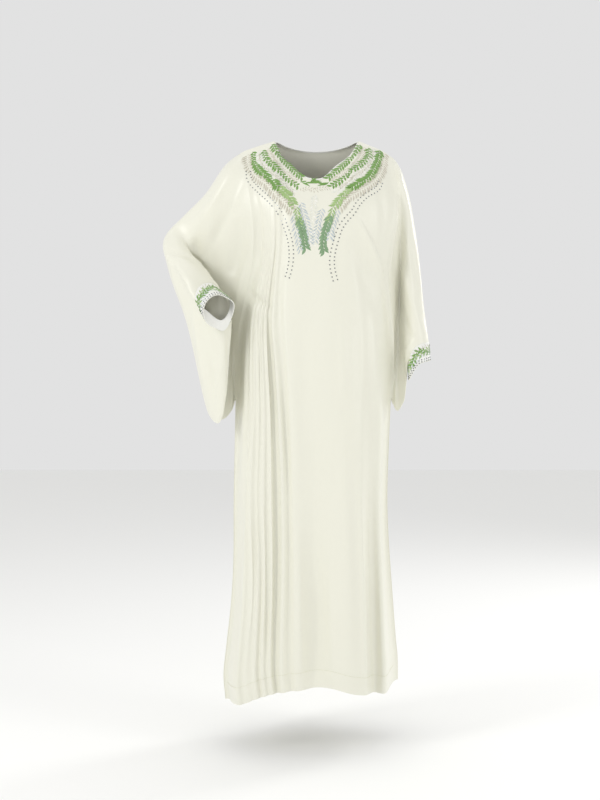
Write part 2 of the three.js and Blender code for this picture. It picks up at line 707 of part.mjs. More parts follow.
const boubou = new THREE.Group();
boubou.add(
  namedMesh('front_panel', panelWall(front, frontInner), ivorySatin),
  namedMesh('back_panel', panelWall(back, backInner), ivorySatin),
  namedMesh('right_sleeve', tubeWall(rightSleeve.outer, rightSleeve.inner, 0, sleeveSteps, true),
    ivorySatin),
  namedMesh('left_sleeve', tubeWall(leftSleeve.outer, leftSleeve.inner, 0, sleeveSteps, true),
    ivorySatin),
  namedMesh('right_cuff', tubeWall(rightSleeve.outer, rightSleeve.inner, sleeveSteps, lastStep,
    false), whiteCuffSatin),
  namedMesh('left_cuff', tubeWall(leftSleeve.outer, leftSleeve.inner, sleeveSteps, lastStep,
    false), whiteCuffSatin),
  namedMesh('neck_binding', bindingGeometry(front, frontNormals, back, backNormals),
    whiteCuffSatin),
);

export default boubou;
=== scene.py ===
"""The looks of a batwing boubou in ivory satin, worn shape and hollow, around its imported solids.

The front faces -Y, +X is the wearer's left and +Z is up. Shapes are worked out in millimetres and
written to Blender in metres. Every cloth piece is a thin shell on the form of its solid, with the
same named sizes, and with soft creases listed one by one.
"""

import logging
import math
from dataclasses import dataclass, field
from enum import Enum
from typing import Sequence

import bpy
import numpy as np
from mathutils import Matrix, Vector
from mathutils.bvhtree import BVHTree


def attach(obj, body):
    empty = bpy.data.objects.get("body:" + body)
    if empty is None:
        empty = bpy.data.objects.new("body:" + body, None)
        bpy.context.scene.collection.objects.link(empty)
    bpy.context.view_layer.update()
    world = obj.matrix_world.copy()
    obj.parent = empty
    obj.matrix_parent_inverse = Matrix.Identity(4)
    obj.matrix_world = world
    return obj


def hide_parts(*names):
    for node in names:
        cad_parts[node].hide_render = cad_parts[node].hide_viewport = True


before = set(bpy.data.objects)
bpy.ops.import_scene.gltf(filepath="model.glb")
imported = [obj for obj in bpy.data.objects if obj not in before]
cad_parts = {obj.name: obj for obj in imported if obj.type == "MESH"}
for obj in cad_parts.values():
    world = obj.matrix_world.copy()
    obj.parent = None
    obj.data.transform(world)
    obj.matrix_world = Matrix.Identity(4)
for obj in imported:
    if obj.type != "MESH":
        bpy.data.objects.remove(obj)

LOG = logging.getLogger("boubou")
MM = 0.001

# Sizes of the cloth, in millimetres
SHELL_THICKNESS = 1.1
NECK_HALF_WIDTH = 104.0
WING_JOIN_HEIGHT = -640.0
SHOULDER_ROUNDING = 130.0
BINDING_WIDTH = 4.0
BINDING_GAP = 0.5
HEM_DEPTH = 42.0
CUFF_LIFT = 0.6

# How finely the cloth is divided
ARMHOLE_ROWS = 128
SKIRT_ROWS = 156
COLUMN_SPACING = 3.1
SLEEVE_STEPS = 104
CUFF_STEPS = 18
RING_SAMPLES = 400
CURVE_SAMPLES = 200
CREASE_SAMPLES = 12
CREASE_KNOTS = 25

# How the body rounds: powers across it, places down it and shares of its width
BODY_ROUNDNESS = 2.6
SKIRT_ROUNDNESS = 0.5
SKIRT_ROUNDING_START = 0.5
SKIRT_ROUNDING_REACH = 0.6
FOLD_EDGE_SHARE = 0.05
BODY_EDGE_SHARE = 0.07

# How a sleeve's rings are drawn: powers, and the place of the body's ring before the armhole
RING_CROWDING = 1.5
RING_SQUARENESS = 8
GHOST_PLACE = -0.06

# How creases and the turned hem fade: shares, rows and columns, and millimetres for the hem
CREASE_END_SHARE = 0.02
CREASE_FADE_POWER = 0.6
CREASE_TURN = 2.2
SEAM_FADE_COLUMNS = 5
TOP_FADE_ROWS = 3
ARMHOLE_FADE_ROWS = 4
CUFF_FADE_ROWS = 6
HEM_LIFT = 0.5
HEM_SOFTNESS = 3

# Edges sharper than this many degrees are shaded sharp
SHARP_ANGLE = 62

# The shoulder seams: x, z
SHOULDER_SEAMS = ((-178, -25), (-140, -12), (-104, -1), (104, -1), (161, -24), (188, -42))

# The neck edge: x, y, z
FRONT_NECK = ((-104, 0, -1), (-90, -20, -37), (-56, -50, -75), (-31, -72, -97), (-6, -84, -105),
              (17, -82, -101), (47, -57, -71), (83, -25, -38), (104, 0, -1))
BACK_NECK = ((-104, 0, -1), (-80, 27, -12), (-40, 46, -21), (0, 52, -24), (40, 46, -21),
             (80, 27, -12), (104, 0, -1))

# The lines on which body and sleeves are joined, from the shoulder to the wing join: x, y, z
RIGHT_ARMHOLE_FRONT = ((-178, 0, -25), (-172, -52, -80), (-162, -80, -150), (-154, -80, -220),
                       (-157, -58, -300), (-173, -35, -380), (-192, -12, -460),
                       (-200, 8, -550), (-202, 25, -640))
RIGHT_ARMHOLE_BACK = ((-178, 0, -25), (-172, 52, -80), (-166, 80, -150), (-162, 92, -250),
                      (-166, 88, -350), (-180, 76, -450), (-195, 56, -550), (-202, 25, -640))
LEFT_ARMHOLE_FRONT = ((188, 0, -42), (192, -48, -105), (194, -72, -190), (184, -70, -270),
                      (174, -56, -335), (181, -42, -400), (190, -22, -480), (192, 0, -560),
                      (186, 22, -640))
LEFT_ARMHOLE_BACK = ((188, 0, -42), (190, 50, -105), (190, 76, -190), (186, 86, -300),
                     (184, 84, -400), (186, 68, -500), (188, 44, -590), (186, 22, -640))

# The side seams of the skirt, from the wing join to the hem: x, y, z
RIGHT_SIDE_SEAM = ((-202, 25, -640), (-204, 22, -738), (-207, 20, -884), (-208, 20, -1040),
                   (-214, 20, -1147), (-226, 17, -1257), (-233, 12, -1330), (-228, 8, -1390))
LEFT_SIDE_SEAM = ((186, 22, -640), (182, 23, -738), (178, 24, -884), (181, 26, -977),
                  (194, 33, -1155), (201, 41, -1241), (206, 47, -1289), (207, 50, -1350))

# Depth of the body's middle line before and behind the shoulder seams: z, front, back
BODY_DEPTHS = ((0, 40, 48), (-60, 70, 72), (-110, 97, 88), (-175, 128, 102), (-240, 132, 106),
               (-400, 126, 100), (-560, 127, 122), (-900, 131, 134), (-1350, 150, 150))

# The hem's height across the front and the back: x, z
FRONT_HEM = ((-228, -1390), (-182, -1379), (-150, -1361), (-99, -1342), (-20, -1330),
             (39, -1329), (100, -1345), (165, -1353), (207, -1350))
BACK_HEM = ((-228, -1390), (-150, -1372), (0, -1352), (140, -1348), (207, -1350))

# Fold lines from the top edge to the hem. Columns: x at the top, bust, waist, hip, thigh, knee
# and hem, then how far the line stands proud at the bust, waist, hip, thigh, knee and hem.
# Columns of cloth are spaced by the widths at the thigh.
LEVEL_PLACES = (0, 0.244, 0.61, 1, 1.31, 1.66, 2)
SPACING_LEVEL = 4
FRONT_FOLDS = (
    (-170, -146, -163, -183, -199, -204, -218, 0, 0, -2, -3, -3, -4),
    (-166, -143, -159, -177, -192, -197, -209, 0, 0, 2, 2, 3, 4),
    (-162, -140, -154, -170, -185, -189, -200, 0, -1, -3, -4, -4, -4),
    (-158, -137, -149, -164, -177, -180, -189, 0, 1, 2, 3, 4, 4),
    (-154, -133, -145, -158, -168, -169, -177, 0, -2, -3, -4, -5, -5),
    (-150, -130, -141, -152, -161, -160, -165, 0, 1, 2, 2, 3, 3),
    (-147, -127, -137, -147, -154, -152, -155, 0, -1, -2, -3, -1, -1),
    (-142, -123, -133, -141, -146, -144, -145, 0, 1, 2, 3, 4, 4),
    (-138, -119, -129, -135, -138, -135, -135, 0, -2, -3, -4, -5, -5),
    (-134, -116, -125, -129, -130, -127, -126, 0, 1, 2, 3, 4, 4),
    (-130, -112, -121, -122, -121, -118, -117, 0, -2, -3, -4, -4, -3),
    (-125, -108, -117, -115, -111, -109, -107, 0, 2, 3, 4, 4, 4),
    (-120, -103, -112, -107, -99, -99, -97, 0, -4, -6, -7, -8, -8),
    (-112, -97, -103, -95, -85, -84, -82, 2, 3, 5, 6, 7, 7),
    (-104, -90, -92, -81, -69, -66, -62, 0, -3, -5, -5, -4, -4),
    (-92, -70, -76, -63, -56, -50, -46, 1, 2, 3, 4, 6, 7),
    (-6, -12, -18, -10, -5, -4, -5, -2, -1, -2, -5, -10, -15),
    (50, 48, 50, 60, 63, 67, 71, 0, 1, 2, 5, 10, 13),
    (104, 88, 96, 104, 110, 113, 114, 1, 3, 5, 6, 8, 10),
    (125, 112, 118, 128, 131, 135, 139, 0, 0, -4, -9, -16, -22),
    (150, 148, 142, 157, 158, 162, 167, 0, 0, 2, 4, 8, 12),
    (172, 176, 160, 174, 170, 177, 184, 0, 0, -2, -4, -12, -24),
)
BACK_FOLDS = (
    (-150, -140, -145, -178, -190, -192, -204, 0, 2, 3, 4, 6, 8),
    (-125, -118, -116, -140, -152, -158, -168, 0, -3, -5, -7, -9, -12),
    (-104, -92, -84, -98, -108, -116, -124, 1, 3, 4, 6, 9, 12),
    (-40, -46, -40, -52, -58, -62, -66, 0, -3, -5, -7, -10, -14),
    (0, 2, 6, 4, 0, -4, -6, 0, 2, 4, 6, 9, 13),
    (40, 46, 44, 50, 52, 54, 56, 0, -2, -4, -6, -9, -13),
    (104, 92, 84, 92, 96, 104, 108, 1, 3, 4, 6, 8, 11),
    (135, 132, 122, 132, 136, 142, 146, 0, -3, -4, -6, -9, -12),
    (165, 164, 152, 162, 162, 168, 176, 0, 1, 2, 4, 6, 8),
)

# Sleeve rings. Columns: place along the sleeve, the point over the arm, the middle of the arm's
# hollow, the point past which the ring leaves the arm, the under-arm seam, the turn of the front
# side in degrees, the front side's share of the arm's width, the lengths over which the front and
# the back side narrow, and half the gap between them.
RIGHT_SLEEVE_RINGS = (
    (0.13, -224, 4, -58, -222, 6, -114, -219, 12, -260, -210, 30, -664, 0, 1, 200, 260, 18),
    (0.26, -275, 14, -128, -268, 16, -176, -259, 20, -310, -229, 31, -687, 4, 0.95, 90, 200, 12),
    (0.38, -325, 24, -178, -314, 24, -222, -300, 25, -340, -251, 24, -690, 26, 0.7, 42, 170, 9),
    (0.5, -356, 18, -218, -338, 14, -258, -324, 10, -370, -268, 3, -672, 66, 0.45, 40, 130, 8),
    (0.6, -350, -14, -254, -328, -16, -289, -314, -18, -390, -254, -26, -692, 98, 0.55, 44, 110, 8),
    (0.7, -330, -46, -283, -310, -38, -313, -293, -42, -410, -236, -56, -690, 114, 0.8, 50, 90, 8),
    (0.8, -313, -72, -309, -294, -57, -337, -270, -62, -425, -222, -72, -632, 120, 1, 50, 80, 9),
    (0.88, -303, -90, -331, -282, -70, -355, -252, -74, -425, -216, -79, -548, 122, 1, 60, 80, 12),
    (0.95, -297, -104, -353, -271, -80, -371, -240, -82, -425, -213, -84, -474, 124, 1, 90, 90, 20),
    (1, -291, -116, -374, -262, -92, -386, -238, -88, -406, -214, -85, -424, 126, 1, 400, 400, 38),
)
RIGHT_CUFF_END = (2, -268, -140, -409, -240, -116, -422, -224, -104, -430, -207, -92, -440,
                  126, 1, 400, 400, 42)
LEFT_SLEEVE_RINGS = (
    (0.14, 207, 2, -70, 205, 4, -128, 201, 12, -280, 196, 24, -662, 0, 1, 200, 260, 16),
    (0.3, 230, 6, -142, 220, 7, -196, 208, 15, -290, 203, 22, -668, 0, 1, 110, 160, 13),
    (0.48, 246, 6, -236, 225, 5, -278, 210, 13, -330, 209, 17, -662, 0, 1, 60, 100, 11),
    (0.64, 257, 1, -326, 231, -2, -356, 213, 6, -390, 214, 11, -652, 0, 1, 45, 70, 10),
    (0.78, 264, -6, -400, 236, -8, -422, 217, 0, -450, 219, 5, -640, 0, 1, 40, 60, 10),
    (0.9, 271, -12, -453, 242, -14, -468, 220, -6, -492, 222, 0, -612, 0, 1, 40, 50, 12),
    (0.96, 274, -15, -474, 245, -16, -486, 222, -9, -510, 225, -5, -576, 0, 1, 60, 70, 18),
    (1, 276, -17, -492, 247, -18, -502, 233, -14, -520, 227, -10, -545, 0, 1, 200, 200, 25),
)
LEFT_CUFF_END = (2, 281, -20, -541, 253, -21, -549, 239, -18, -568, 228, -14, -590,
                 0, 1, 200, 200, 25)


def mix(a: np.ndarray, b: np.ndarray, share: np.ndarray) -> np.ndarray:
    """Blends two values.

    Args:
        a: The value at share 0.
        b: The value at share 1.
        share: How far from a to b.

    Returns:
        The blended value.
    """
    return a + (b - a) * share


def soft_step(value: np.ndarray) -> np.ndarray:
    """Rises smoothly from 0 to 1 as the value goes from 0 to 1.

    Args:
        value: Any numbers.

    Returns:
        The smoothed share.
    """
    share = np.clip(value, 0, 1)
    return share * share * (3 - 2 * share)


def unit(vectors: np.ndarray) -> np.ndarray:
    """Scales vectors to length 1.

    Args:
        vectors: Vectors along the last axis.

    Returns:
        The unit vectors.
    """
    return vectors / np.maximum(np.linalg.norm(vectors, axis=-1, keepdims=True), 1e-9)


def smooth_at(places: Sequence[float], values: np.ndarray, at: np.ndarray) -> np.ndarray:
    """Looks up a smooth curve that passes through the values.

    Args:
        places: Where the values stand, rising or falling.
        values: One row of numbers for each place.
        at: The places to look up.

    Returns:
        One row of numbers for each looked-up place.
    """
    xs, ys = np.asarray(places, float), np.asarray(values, float)
    if xs[0] > xs[-1]:
        xs, ys = xs[::-1], ys[::-1]
    at = np.clip(at, xs[0], xs[-1])
    order = np.arange(len(xs))
    before, after = np.maximum(order - 1, 0), np.minimum(order + 1, len(xs) - 1)
    spans = (xs[after] - xs[before]).reshape((-1,) + (1,) * (ys.ndim - 1))
    slopes = (ys[after] - ys[before]) / spans
    low = np.clip(np.searchsorted(xs, at, side="left") - 1, 0, len(xs) - 2)
    shape = np.shape(at) + (1,) * (ys.ndim - 1)
    span = (xs[low + 1] - xs[low]).reshape(shape)
    s = ((at - xs[low]) / (xs[low + 1] - xs[low])).reshape(shape)
    s2, s3 = s * s, s * s * s
    return ((2 * s3 - 3 * s2 + 1) * ys[low] + (s3 - 2 * s2 + s) * span * slopes[low]
            + (3 * s2 - 2 * s3) * ys[low + 1] + (s3 - s2) * span * slopes[low + 1])


def curve_points(knots: Sequence[Sequence[float]], samples: int) -> np.ndarray:
    """Samples a centripetal curve through the knots.

    Args:
        knots: The points that the curve passes through.
        samples: How many samples lie between two knots.

    Returns:
        The sampled points.
    """
    p = np.asarray(knots, float)
    p = np.vstack([2 * p[0] - p[1], p, 2 * p[-1] - p[-2]])
    gaps = np.maximum(np.linalg.norm(np.diff(p, axis=0), axis=1), 1e-9) ** 0.5
    t = np.linspace(0, 1, samples, endpoint=False)[:, None]
    pieces = []
    for i in range(1, len(p) - 2):
        x0, x1, x2, x3 = p[i - 1:i + 3]
        d0, d1, d2 = gaps[i - 1:i + 2]
        t1 = ((x1 - x0) / d0 - (x2 - x0) / (d0 + d1) + (x2 - x1) / d1) * d1
        t2 = ((x2 - x1) / d1 - (x3 - x1) / (d1 + d2) + (x3 - x2) / d2) * d1
        pieces.append(x1 + t1 * t + (-3 * x1 + 3 * x2 - 2 * t1 - t2) * t ** 2
                      + (2 * x1 - 2 * x2 + t1 + t2) * t ** 3)
    return np.vstack([*pieces, p[-2:-1]])


def along(points: np.ndarray, shares: np.ndarray) -> np.ndarray:
    """Finds points at shares of a line's length.

    Args:
        points: The line's points.
        shares: Shares from 0 to 1.

    Returns:
        One point for each share.
    """
    steps = np.linalg.norm(np.diff(points, axis=0), axis=1)
    lengths = np.concatenate([[0], np.cumsum(steps)])
    wanted = np.asarray(shares) * lengths[-1]
    return np.stack([np.interp(wanted, lengths, points[:, k]) for k in range(points.shape[1])], -1)


def line_length(points: np.ndarray) -> float:
    """Measures a line.

    Args:
        points: The line's points.

    Returns:
        Its length.
    """
    return float(np.linalg.norm(np.diff(points, axis=0), axis=1).sum())


def even_points(knots: Sequence[Sequence[float]], divisions: int) -> np.ndarray:
    """Places points at even distances on the smooth curve through the knots.

    Args:
        knots: The points that the curve passes through.
        divisions: The number of even steps.

    Returns:
        The points, one more than the divisions.
    """
    return along(curve_points(knots, CURVE_SAMPLES), np.linspace(0, 1, divisions + 1))


def grid_normals(grid: np.ndarray, closed: bool, sign: float) -> np.ndarray:
    """Works out outward normals at the points of a grid.

    Args:
        grid: Rows and columns of points.
        closed: Whether the columns run round a tube.
        sign: 1 or -1, which turns the normals outwards.

    Returns:
        A unit normal for each point.
    """
    down = np.empty_like(grid)
    down[1:-1] = grid[2:] - grid[:-2]
    down[0], down[-1] = grid[1] - grid[0], grid[-1] - grid[-2]
    if closed:
        across = np.roll(grid, -1, 1) - np.roll(grid, 1, 1)
    else:
        across = np.empty_like(grid)
        across[:, 1:-1] = grid[:, 2:] - grid[:, :-2]
        across[:, 0], across[:, -1] = grid[:, 1] - grid[:, 0], grid[:, -1] - grid[:, -2]
    return unit(np.cross(across, down)) * sign


class Side(Enum):
    """Which side of the garment a crease lies on."""

    FRONT = -1
    BACK = 1


@dataclass(frozen=True)
class Crease:
    """A soft trough or ridge along a line, as it is seen from the front or from behind.

    Attributes:
        line: Points x, z in millimetres.
        height: How far it stands proud, in millimetres; below 0 for a trough.
        reach: Its half-width, in millimetres.
        side: The side of the garment that it lies on.
        steep: How much narrower its lower-right flank is, from 0 to 1.
    """

    line: tuple[tuple[float, float], ...]
    height: float
    reach: float
    side: Side = Side.FRONT
    steep: float = 0.0

    def relief(self, points: np.ndarray, normals: np.ndarray) -> np.ndarray:
        """Works out how far the crease lifts each point.

        Args:
            points: Points of the cloth.
            normals: Their outward normals.

        Returns:
            The lift of each point along its normal.
        """
        flat = points[..., [0, 2]]
        knots = along(curve_points(self.line, CREASE_SAMPLES), np.linspace(0, 1, CREASE_KNOTS))
        best = np.full(flat.shape[:-1], 1e9)
        place = np.zeros(flat.shape[:-1])
        hand = np.ones(flat.shape[:-1])
        for i, (a, b) in enumerate(zip(knots[:-1], knots[1:])):
            ab = b - a
            t = np.clip(((flat - a) @ ab) / max(ab @ ab, 1e-9), 0, 1)
            away = flat - (a + t[..., None] * ab)
            gap = np.linalg.norm(away, axis=-1)
            nearer = gap < best
            best = np.where(nearer, gap, best)
            place = np.where(nearer, (i + t) / (len(knots) - 1), place)
            hand = np.where(nearer, np.sign(ab[0] * away[..., 1] - ab[1] * away[..., 0]), hand)
        reach = self.reach * (1 - self.steep * (hand > 0))
        within = np.clip(place, CREASE_END_SHARE, 1 - CREASE_END_SHARE)
        fade = np.sin(np.pi * within) ** CREASE_FADE_POWER
        facing = np.clip(normals[..., 1] * self.side.value * CREASE_TURN, 0, 1)
        return self.height * np.exp(-(best / reach) ** 2) * fade * facing


def creases(side: Side, rows: Sequence[tuple]) -> tuple[Crease, ...]:
    """Reads a table of creases.

    Args:
        side: The side of the garment that they lie on.
        rows: For each crease its line, height, half-width and steepness.

    Returns:
        The creases.
    """
    return tuple(Crease(line, height, reach, side, steep) for line, height, reach, steep in rows)


def quads(index: np.ndarray) -> np.ndarray:
    """Joins the neighbouring points of a grid into four-sided faces.

    Args:
        index: Rows and columns of point numbers.

    Returns:
        The four point numbers of each face.
    """
    a, b, c, d = index[:-1, :-1], index[1:, :-1], index[1:, 1:], index[:-1, 1:]
    return np.stack([a, b, c, d], -1).reshape(-1, 4)


def shell_mesh(name: str, outer: np.ndarray, inner: np.ndarray, closed: bool) -> bpy.types.Object:
    """Builds a closed thin shell between two grids of points, with a UV map in metres.

    Args:
        name: The piece's name.
        outer: Rows and columns of outer points, in millimetres.
        inner: The matching inner points.
        closed: Whether the columns run round a tube.

    Returns:
        The new object.
    """
    rows, count = outer.shape[:2]
    points = np.concatenate([outer.reshape(-1, 3), inner.reshape(-1, 3)]) * MM
    index = np.arange(rows * count).reshape(rows, count)
    if closed:
        index = np.concatenate([index, index[:, :1]], axis=1)
    shift = rows * count
    outside = quads(index)
    inside = outside[:, [0, 3, 2, 1]] + shift
    rims = [
        np.stack([index[0, :-1], index[0, 1:], index[0, 1:] + shift, index[0, :-1] + shift], -1),
        np.stack([index[-1, :-1], index[-1, :-1] + shift, index[-1, 1:] + shift,
                  index[-1, 1:]], -1),
    ]
    if not closed:
        rims += [
            np.stack([index[:-1, 0], index[:-1, 0] + shift, index[1:, 0] + shift,
                      index[1:, 0]], -1),
            np.stack([index[:-1, -1], index[1:, -1], index[1:, -1] + shift,
                      index[:-1, -1] + shift], -1),
        ]
    faces = np.concatenate([outside, inside, *rims])
    p = points[faces]
    volume = np.einsum("ij,ij->i", p[:, 0], np.cross(p[:, 1], p[:, 2])).sum()
    volume += np.einsum("ij,ij->i", p[:, 0], np.cross(p[:, 2], p[:, 3])).sum()
    if volume < 0:
        faces = faces[:, ::-1]
    mesh = bpy.data.meshes.new(name)
    mesh.from_pydata(points.tolist(), [], faces.tolist())
    steps_u = np.linalg.norm(np.diff(outer, axis=1), axis=2).mean(0)
    steps_v = np.linalg.norm(np.diff(outer, axis=0), axis=2).mean(1)
    u = np.concatenate([[0], np.cumsum(steps_u)]) * MM
    v = -np.concatenate([[0], np.cumsum(steps_v)]) * MM
    uv = np.stack(np.broadcast_arrays(u[None, :], v[:, None]), -1).reshape(-1, 2)
    corner = np.array([loop.vertex_index for loop in mesh.loops]) % (rows * count)
    mesh.uv_layers.new(name="cloth").data.foreach_set("uv", uv[corner].astype(np.float32).ravel())
    return finished_object(name, mesh)


def finished_object(name: str, mesh: bpy.types.Mesh, smooth: bool = True) -> bpy.types.Object:
    """Adds an object to the scene.

    Args:
        name: The piece's name.
        mesh: Its mesh, in metres in the row frame.
        smooth: Whether it is shaded smooth; a cut stone isn't.

    Returns:
        The new object, at the origin, unturned and unscaled.
    """
    mesh.polygons.foreach_set("use_smooth", np.full(len(mesh.polygons), smooth))
    if smooth:
        mesh.set_sharp_from_angle(angle=math.radians(SHARP_ANGLE))
    mesh.update()
    piece = bpy.data.objects.new(name, mesh)
    bpy.context.scene.collection.objects.link(piece)
    return piece


def show(piece: bpy.types.Object, material: bpy.types.Material, slot: str = "",
         *nodes: str) -> None:
    """Gives a piece its finish and its place in the frame.

    Args:
        piece: The visible piece.
        material: Its material.
        slot: The record's material slot, if it has one; not used.
        nodes: The solids that it stands for.
    """
    piece.data.materials.clear()
    piece.data.materials.append(material)
    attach(piece, "root")
    if nodes:
        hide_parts(*nodes)
    LOG.info("%s: %d faces", piece.name, len(piece.data.polygons))


# Finishes

def linear(hex_colour: str) -> tuple[float, float, float, float]:
    """Turns an sRGB hex colour into linear values.

    Args:
        hex_colour: Such as "#F1F1DF".

    Returns:
        Red, green, blue and alpha.
    """
    parts = [int(hex_colour[i:i + 2], 16) / 255 for i in (1, 3, 5)]
    rgb = [v / 12.92 if v <= 0.04045 else ((v + 0.055) / 1.055) ** 2.4 for v in parts]
    return (*rgb, 1.0)


def add_node(tree: bpy.types.NodeTree, kind: str, place: tuple[float, float],
             **settings: object) -> bpy.types.Node:
    """Adds a node to a tree.

    Args:
        tree: The node tree.
        kind: The node's type name.
        place: Where it is drawn.
        settings: Its properties, and inputs given as in_NAME with _ for a space.

    Returns:
        The new node.
    """
    node = tree.nodes.new(kind)
    node.location = place
    for key, value in settings.items():
        if key.startswith("in_"):
            node.inputs[key[3:].replace("_", " ")].default_value = value
        else:
            setattr(node, key, value)
    return node


def start_material(name: str, **values: object) -> tuple[bpy.types.Material, bpy.types.Node]:
    """Starts a material and sets inputs of its surface.

    Args:
        name: The real material and how it is made.
        values: The surface's inputs, with _ for a space in their names.

    Returns:
        The new material and its surface node.
    """
    material = bpy.data.materials.new(name)
    material.use_nodes = True
    surface = material.node_tree.nodes["Principled BSDF"]
    for key, value in values.items():
        surface.inputs[key.replace("_", " ")].default_value = value
    return material, surface


@dataclass(frozen=True)
class SatinFinish:
    """Woven satin: a smooth face with a soft, wide highlight.

    Attributes:
        name: The real material and how it is made.
        colour: sRGB hex colour of the cloth.
        roughness: Width of the highlight.
        sheen: Strength of the soft glow at grazing angles.
        waviness: Height of the cloth's small unevenness, in millimetres.
        weave: Height of the weave's ribs, in millimetres.
    """

    name: str
    colour: str
    roughness: float
    sheen: float
    waviness: float
    weave: float

    def build(self) -> bpy.types.Material:
        """Builds the material.

        Returns:
            The new material.
        """
        material, surface = start_material(
            self.name, Base_Color=linear(self.colour), Roughness=self.roughness,
            Specular_IOR_Level=0.45, Sheen_Weight=self.sheen, Sheen_Roughness=0.45,
            Sheen_Tint=linear("#FBFBF2"))
        tree = material.node_tree
        place = add_node(tree, "ShaderNodeTexCoord", (-1100, 0))
        # Slow unevenness of pressed satin, about 25 mm from crest to crest
        slow = add_node(tree, "ShaderNodeTexNoise", (-800, 100), in_Scale=40.0, in_Detail=3.0,
                        in_Roughness=0.45)
        tree.links.new(place.outputs["Object"], slow.inputs["Vector"])
        # The weave's ribs, 1 mm apart, across the cloth
        ribs = add_node(tree, "ShaderNodeTexWave", (-800, -250), wave_type="BANDS",
                        bands_direction="Y", in_Scale=320.0, in_Distortion=0.6)
        tree.links.new(place.outputs["UV"], ribs.inputs["Vector"])
        fine = add_node(tree, "ShaderNodeBump", (-500, -250), in_Strength=0.25,
                        in_Distance=self.weave * MM)
        tree.links.new(ribs.outputs["Fac"], fine.inputs["Height"])
        broad = add_node(tree, "ShaderNodeBump", (-250, 0), in_Strength=0.5,
                         in_Distance=self.waviness * MM)
        tree.links.new(slow.outputs["Fac"], broad.inputs["Height"])
        tree.links.new(fine.outputs["Normal"], broad.inputs["Normal"])
        tree.links.new(broad.outputs["Normal"], surface.inputs["Normal"])
        return material


IVORY_SATIN = SatinFinish("ivory polyester satin, woven", "#E9E8DA", 0.34, 0.2, 1.4, 0.05)
WHITE_SATIN = SatinFinish("white polyester satin, woven and fused", "#EDEDE8", 0.5, 0.2, 0.3, 0.05)

# The darkest shade of a thread, as shares of its linear colour
DEEP_DYE = (0.78, 0.82, 0.76)


@dataclass(frozen=True)
class ThreadFinish:
    """Rayon embroidery thread laid as satin stitch: a soft gloss over fine ridges.

    Attributes:
        name: The real material and how it is made.
        colour: sRGB hex colour of the thread.
    """

    name: str
    colour: str

    def build(self) -> bpy.types.Material:
        """Builds the material.

        Returns:
            The new material.
        """
        material, surface = start_material(self.name, Roughness=0.42, Sheen_Weight=0.3)
        tree = material.node_tree
        place = add_node(tree, "ShaderNodeTexCoord", (-900, 0))
        # Uneven take-up of dye from stitch to stitch, about 6 mm apart
        dye = add_node(tree, "ShaderNodeTexNoise", (-650, 200), in_Scale=160.0, in_Detail=1.0)
        tree.links.new(place.outputs["Object"], dye.inputs["Vector"])
        colour = linear(self.colour)
        shade = add_node(tree, "ShaderNodeValToRGB", (-420, 200))
        deep, pale = shade.color_ramp.elements
        deep.position, pale.position = 0.3, 0.7
        deep.color = (*(part * share for part, share in zip(colour, DEEP_DYE)), 1)
        pale.color = colour
        tree.links.new(dye.outputs["Fac"], shade.inputs["Fac"])
        tree.links.new(shade.outputs["Color"], surface.inputs["Base Color"])
        # Threads of the satin stitch, 0.4 mm apart
        strands = add_node(tree, "ShaderNodeTexNoise", (-650, -200), in_Scale=2500.0)
        tree.links.new(place.outputs["Object"], strands.inputs["Vector"])
        bump = add_node(tree, "ShaderNodeBump", (-300, -200), in_Strength=0.5,
                        in_Distance=0.15 * MM)
        tree.links.new(strands.outputs["Fac"], bump.inputs["Height"])
        tree.links.new(bump.outputs["Normal"], surface.inputs["Normal"])
        return material


class Thread(Enum):
    """The threads of the embroidery and the sewing."""

    LEAF_GREEN = ThreadFinish("leaf green rayon thread, satin stitch", "#76A24C")
    PALE_GREEN = ThreadFinish("pale green rayon thread, satin stitch", "#A9C583")
    GREY_GREEN = ThreadFinish("grey green rayon thread, satin stitch", "#86A57E")
    TAUPE = ThreadFinish("pale taupe rayon thread, satin stitch", "#D6CEBF")
    GREY_BLUE = ThreadFinish("grey blue rayon thread, satin stitch", "#CBD2D8")
    WHITE = ThreadFinish("white rayon thread, satin stitch", "#F6F4EE")
    SEWING = ThreadFinish("ivory polyester sewing thread, lockstitch", "#E4E1C8")


@dataclass(frozen=True)
class StoneFinish:
    """Pressed glass with foil behind, which gives small bright glints; the dark glints are a
    painted reflection, the foil's colour darkened to grey.

    Attributes:
        name: The real material and how it is made.
        colour: sRGB hex colour of the foil, darkened to a grey that paints in the stones' dark
            reflections.
    """

    name: str
    colour: str

    def build(self) -> bpy.types.Material:
        """Builds the material.

        Returns:
            The new material.
        """
        # The base colour is the foil's darkened grey, a painted reflection that makes the stones
        # glint dark.
        material, _ = start_material(self.name, Base_Color=linear(self.colour), Metallic=0.85,
                                     Roughness=0.12, Coat_Weight=0.6, Coat_Roughness=0.03)
        return material


# The stones' grey is painted reflection: darker than bright foil, so that they show dark glints.
RHINESTONE = StoneFinish("foil-backed glass rhinestone, pressed", "#83888C")


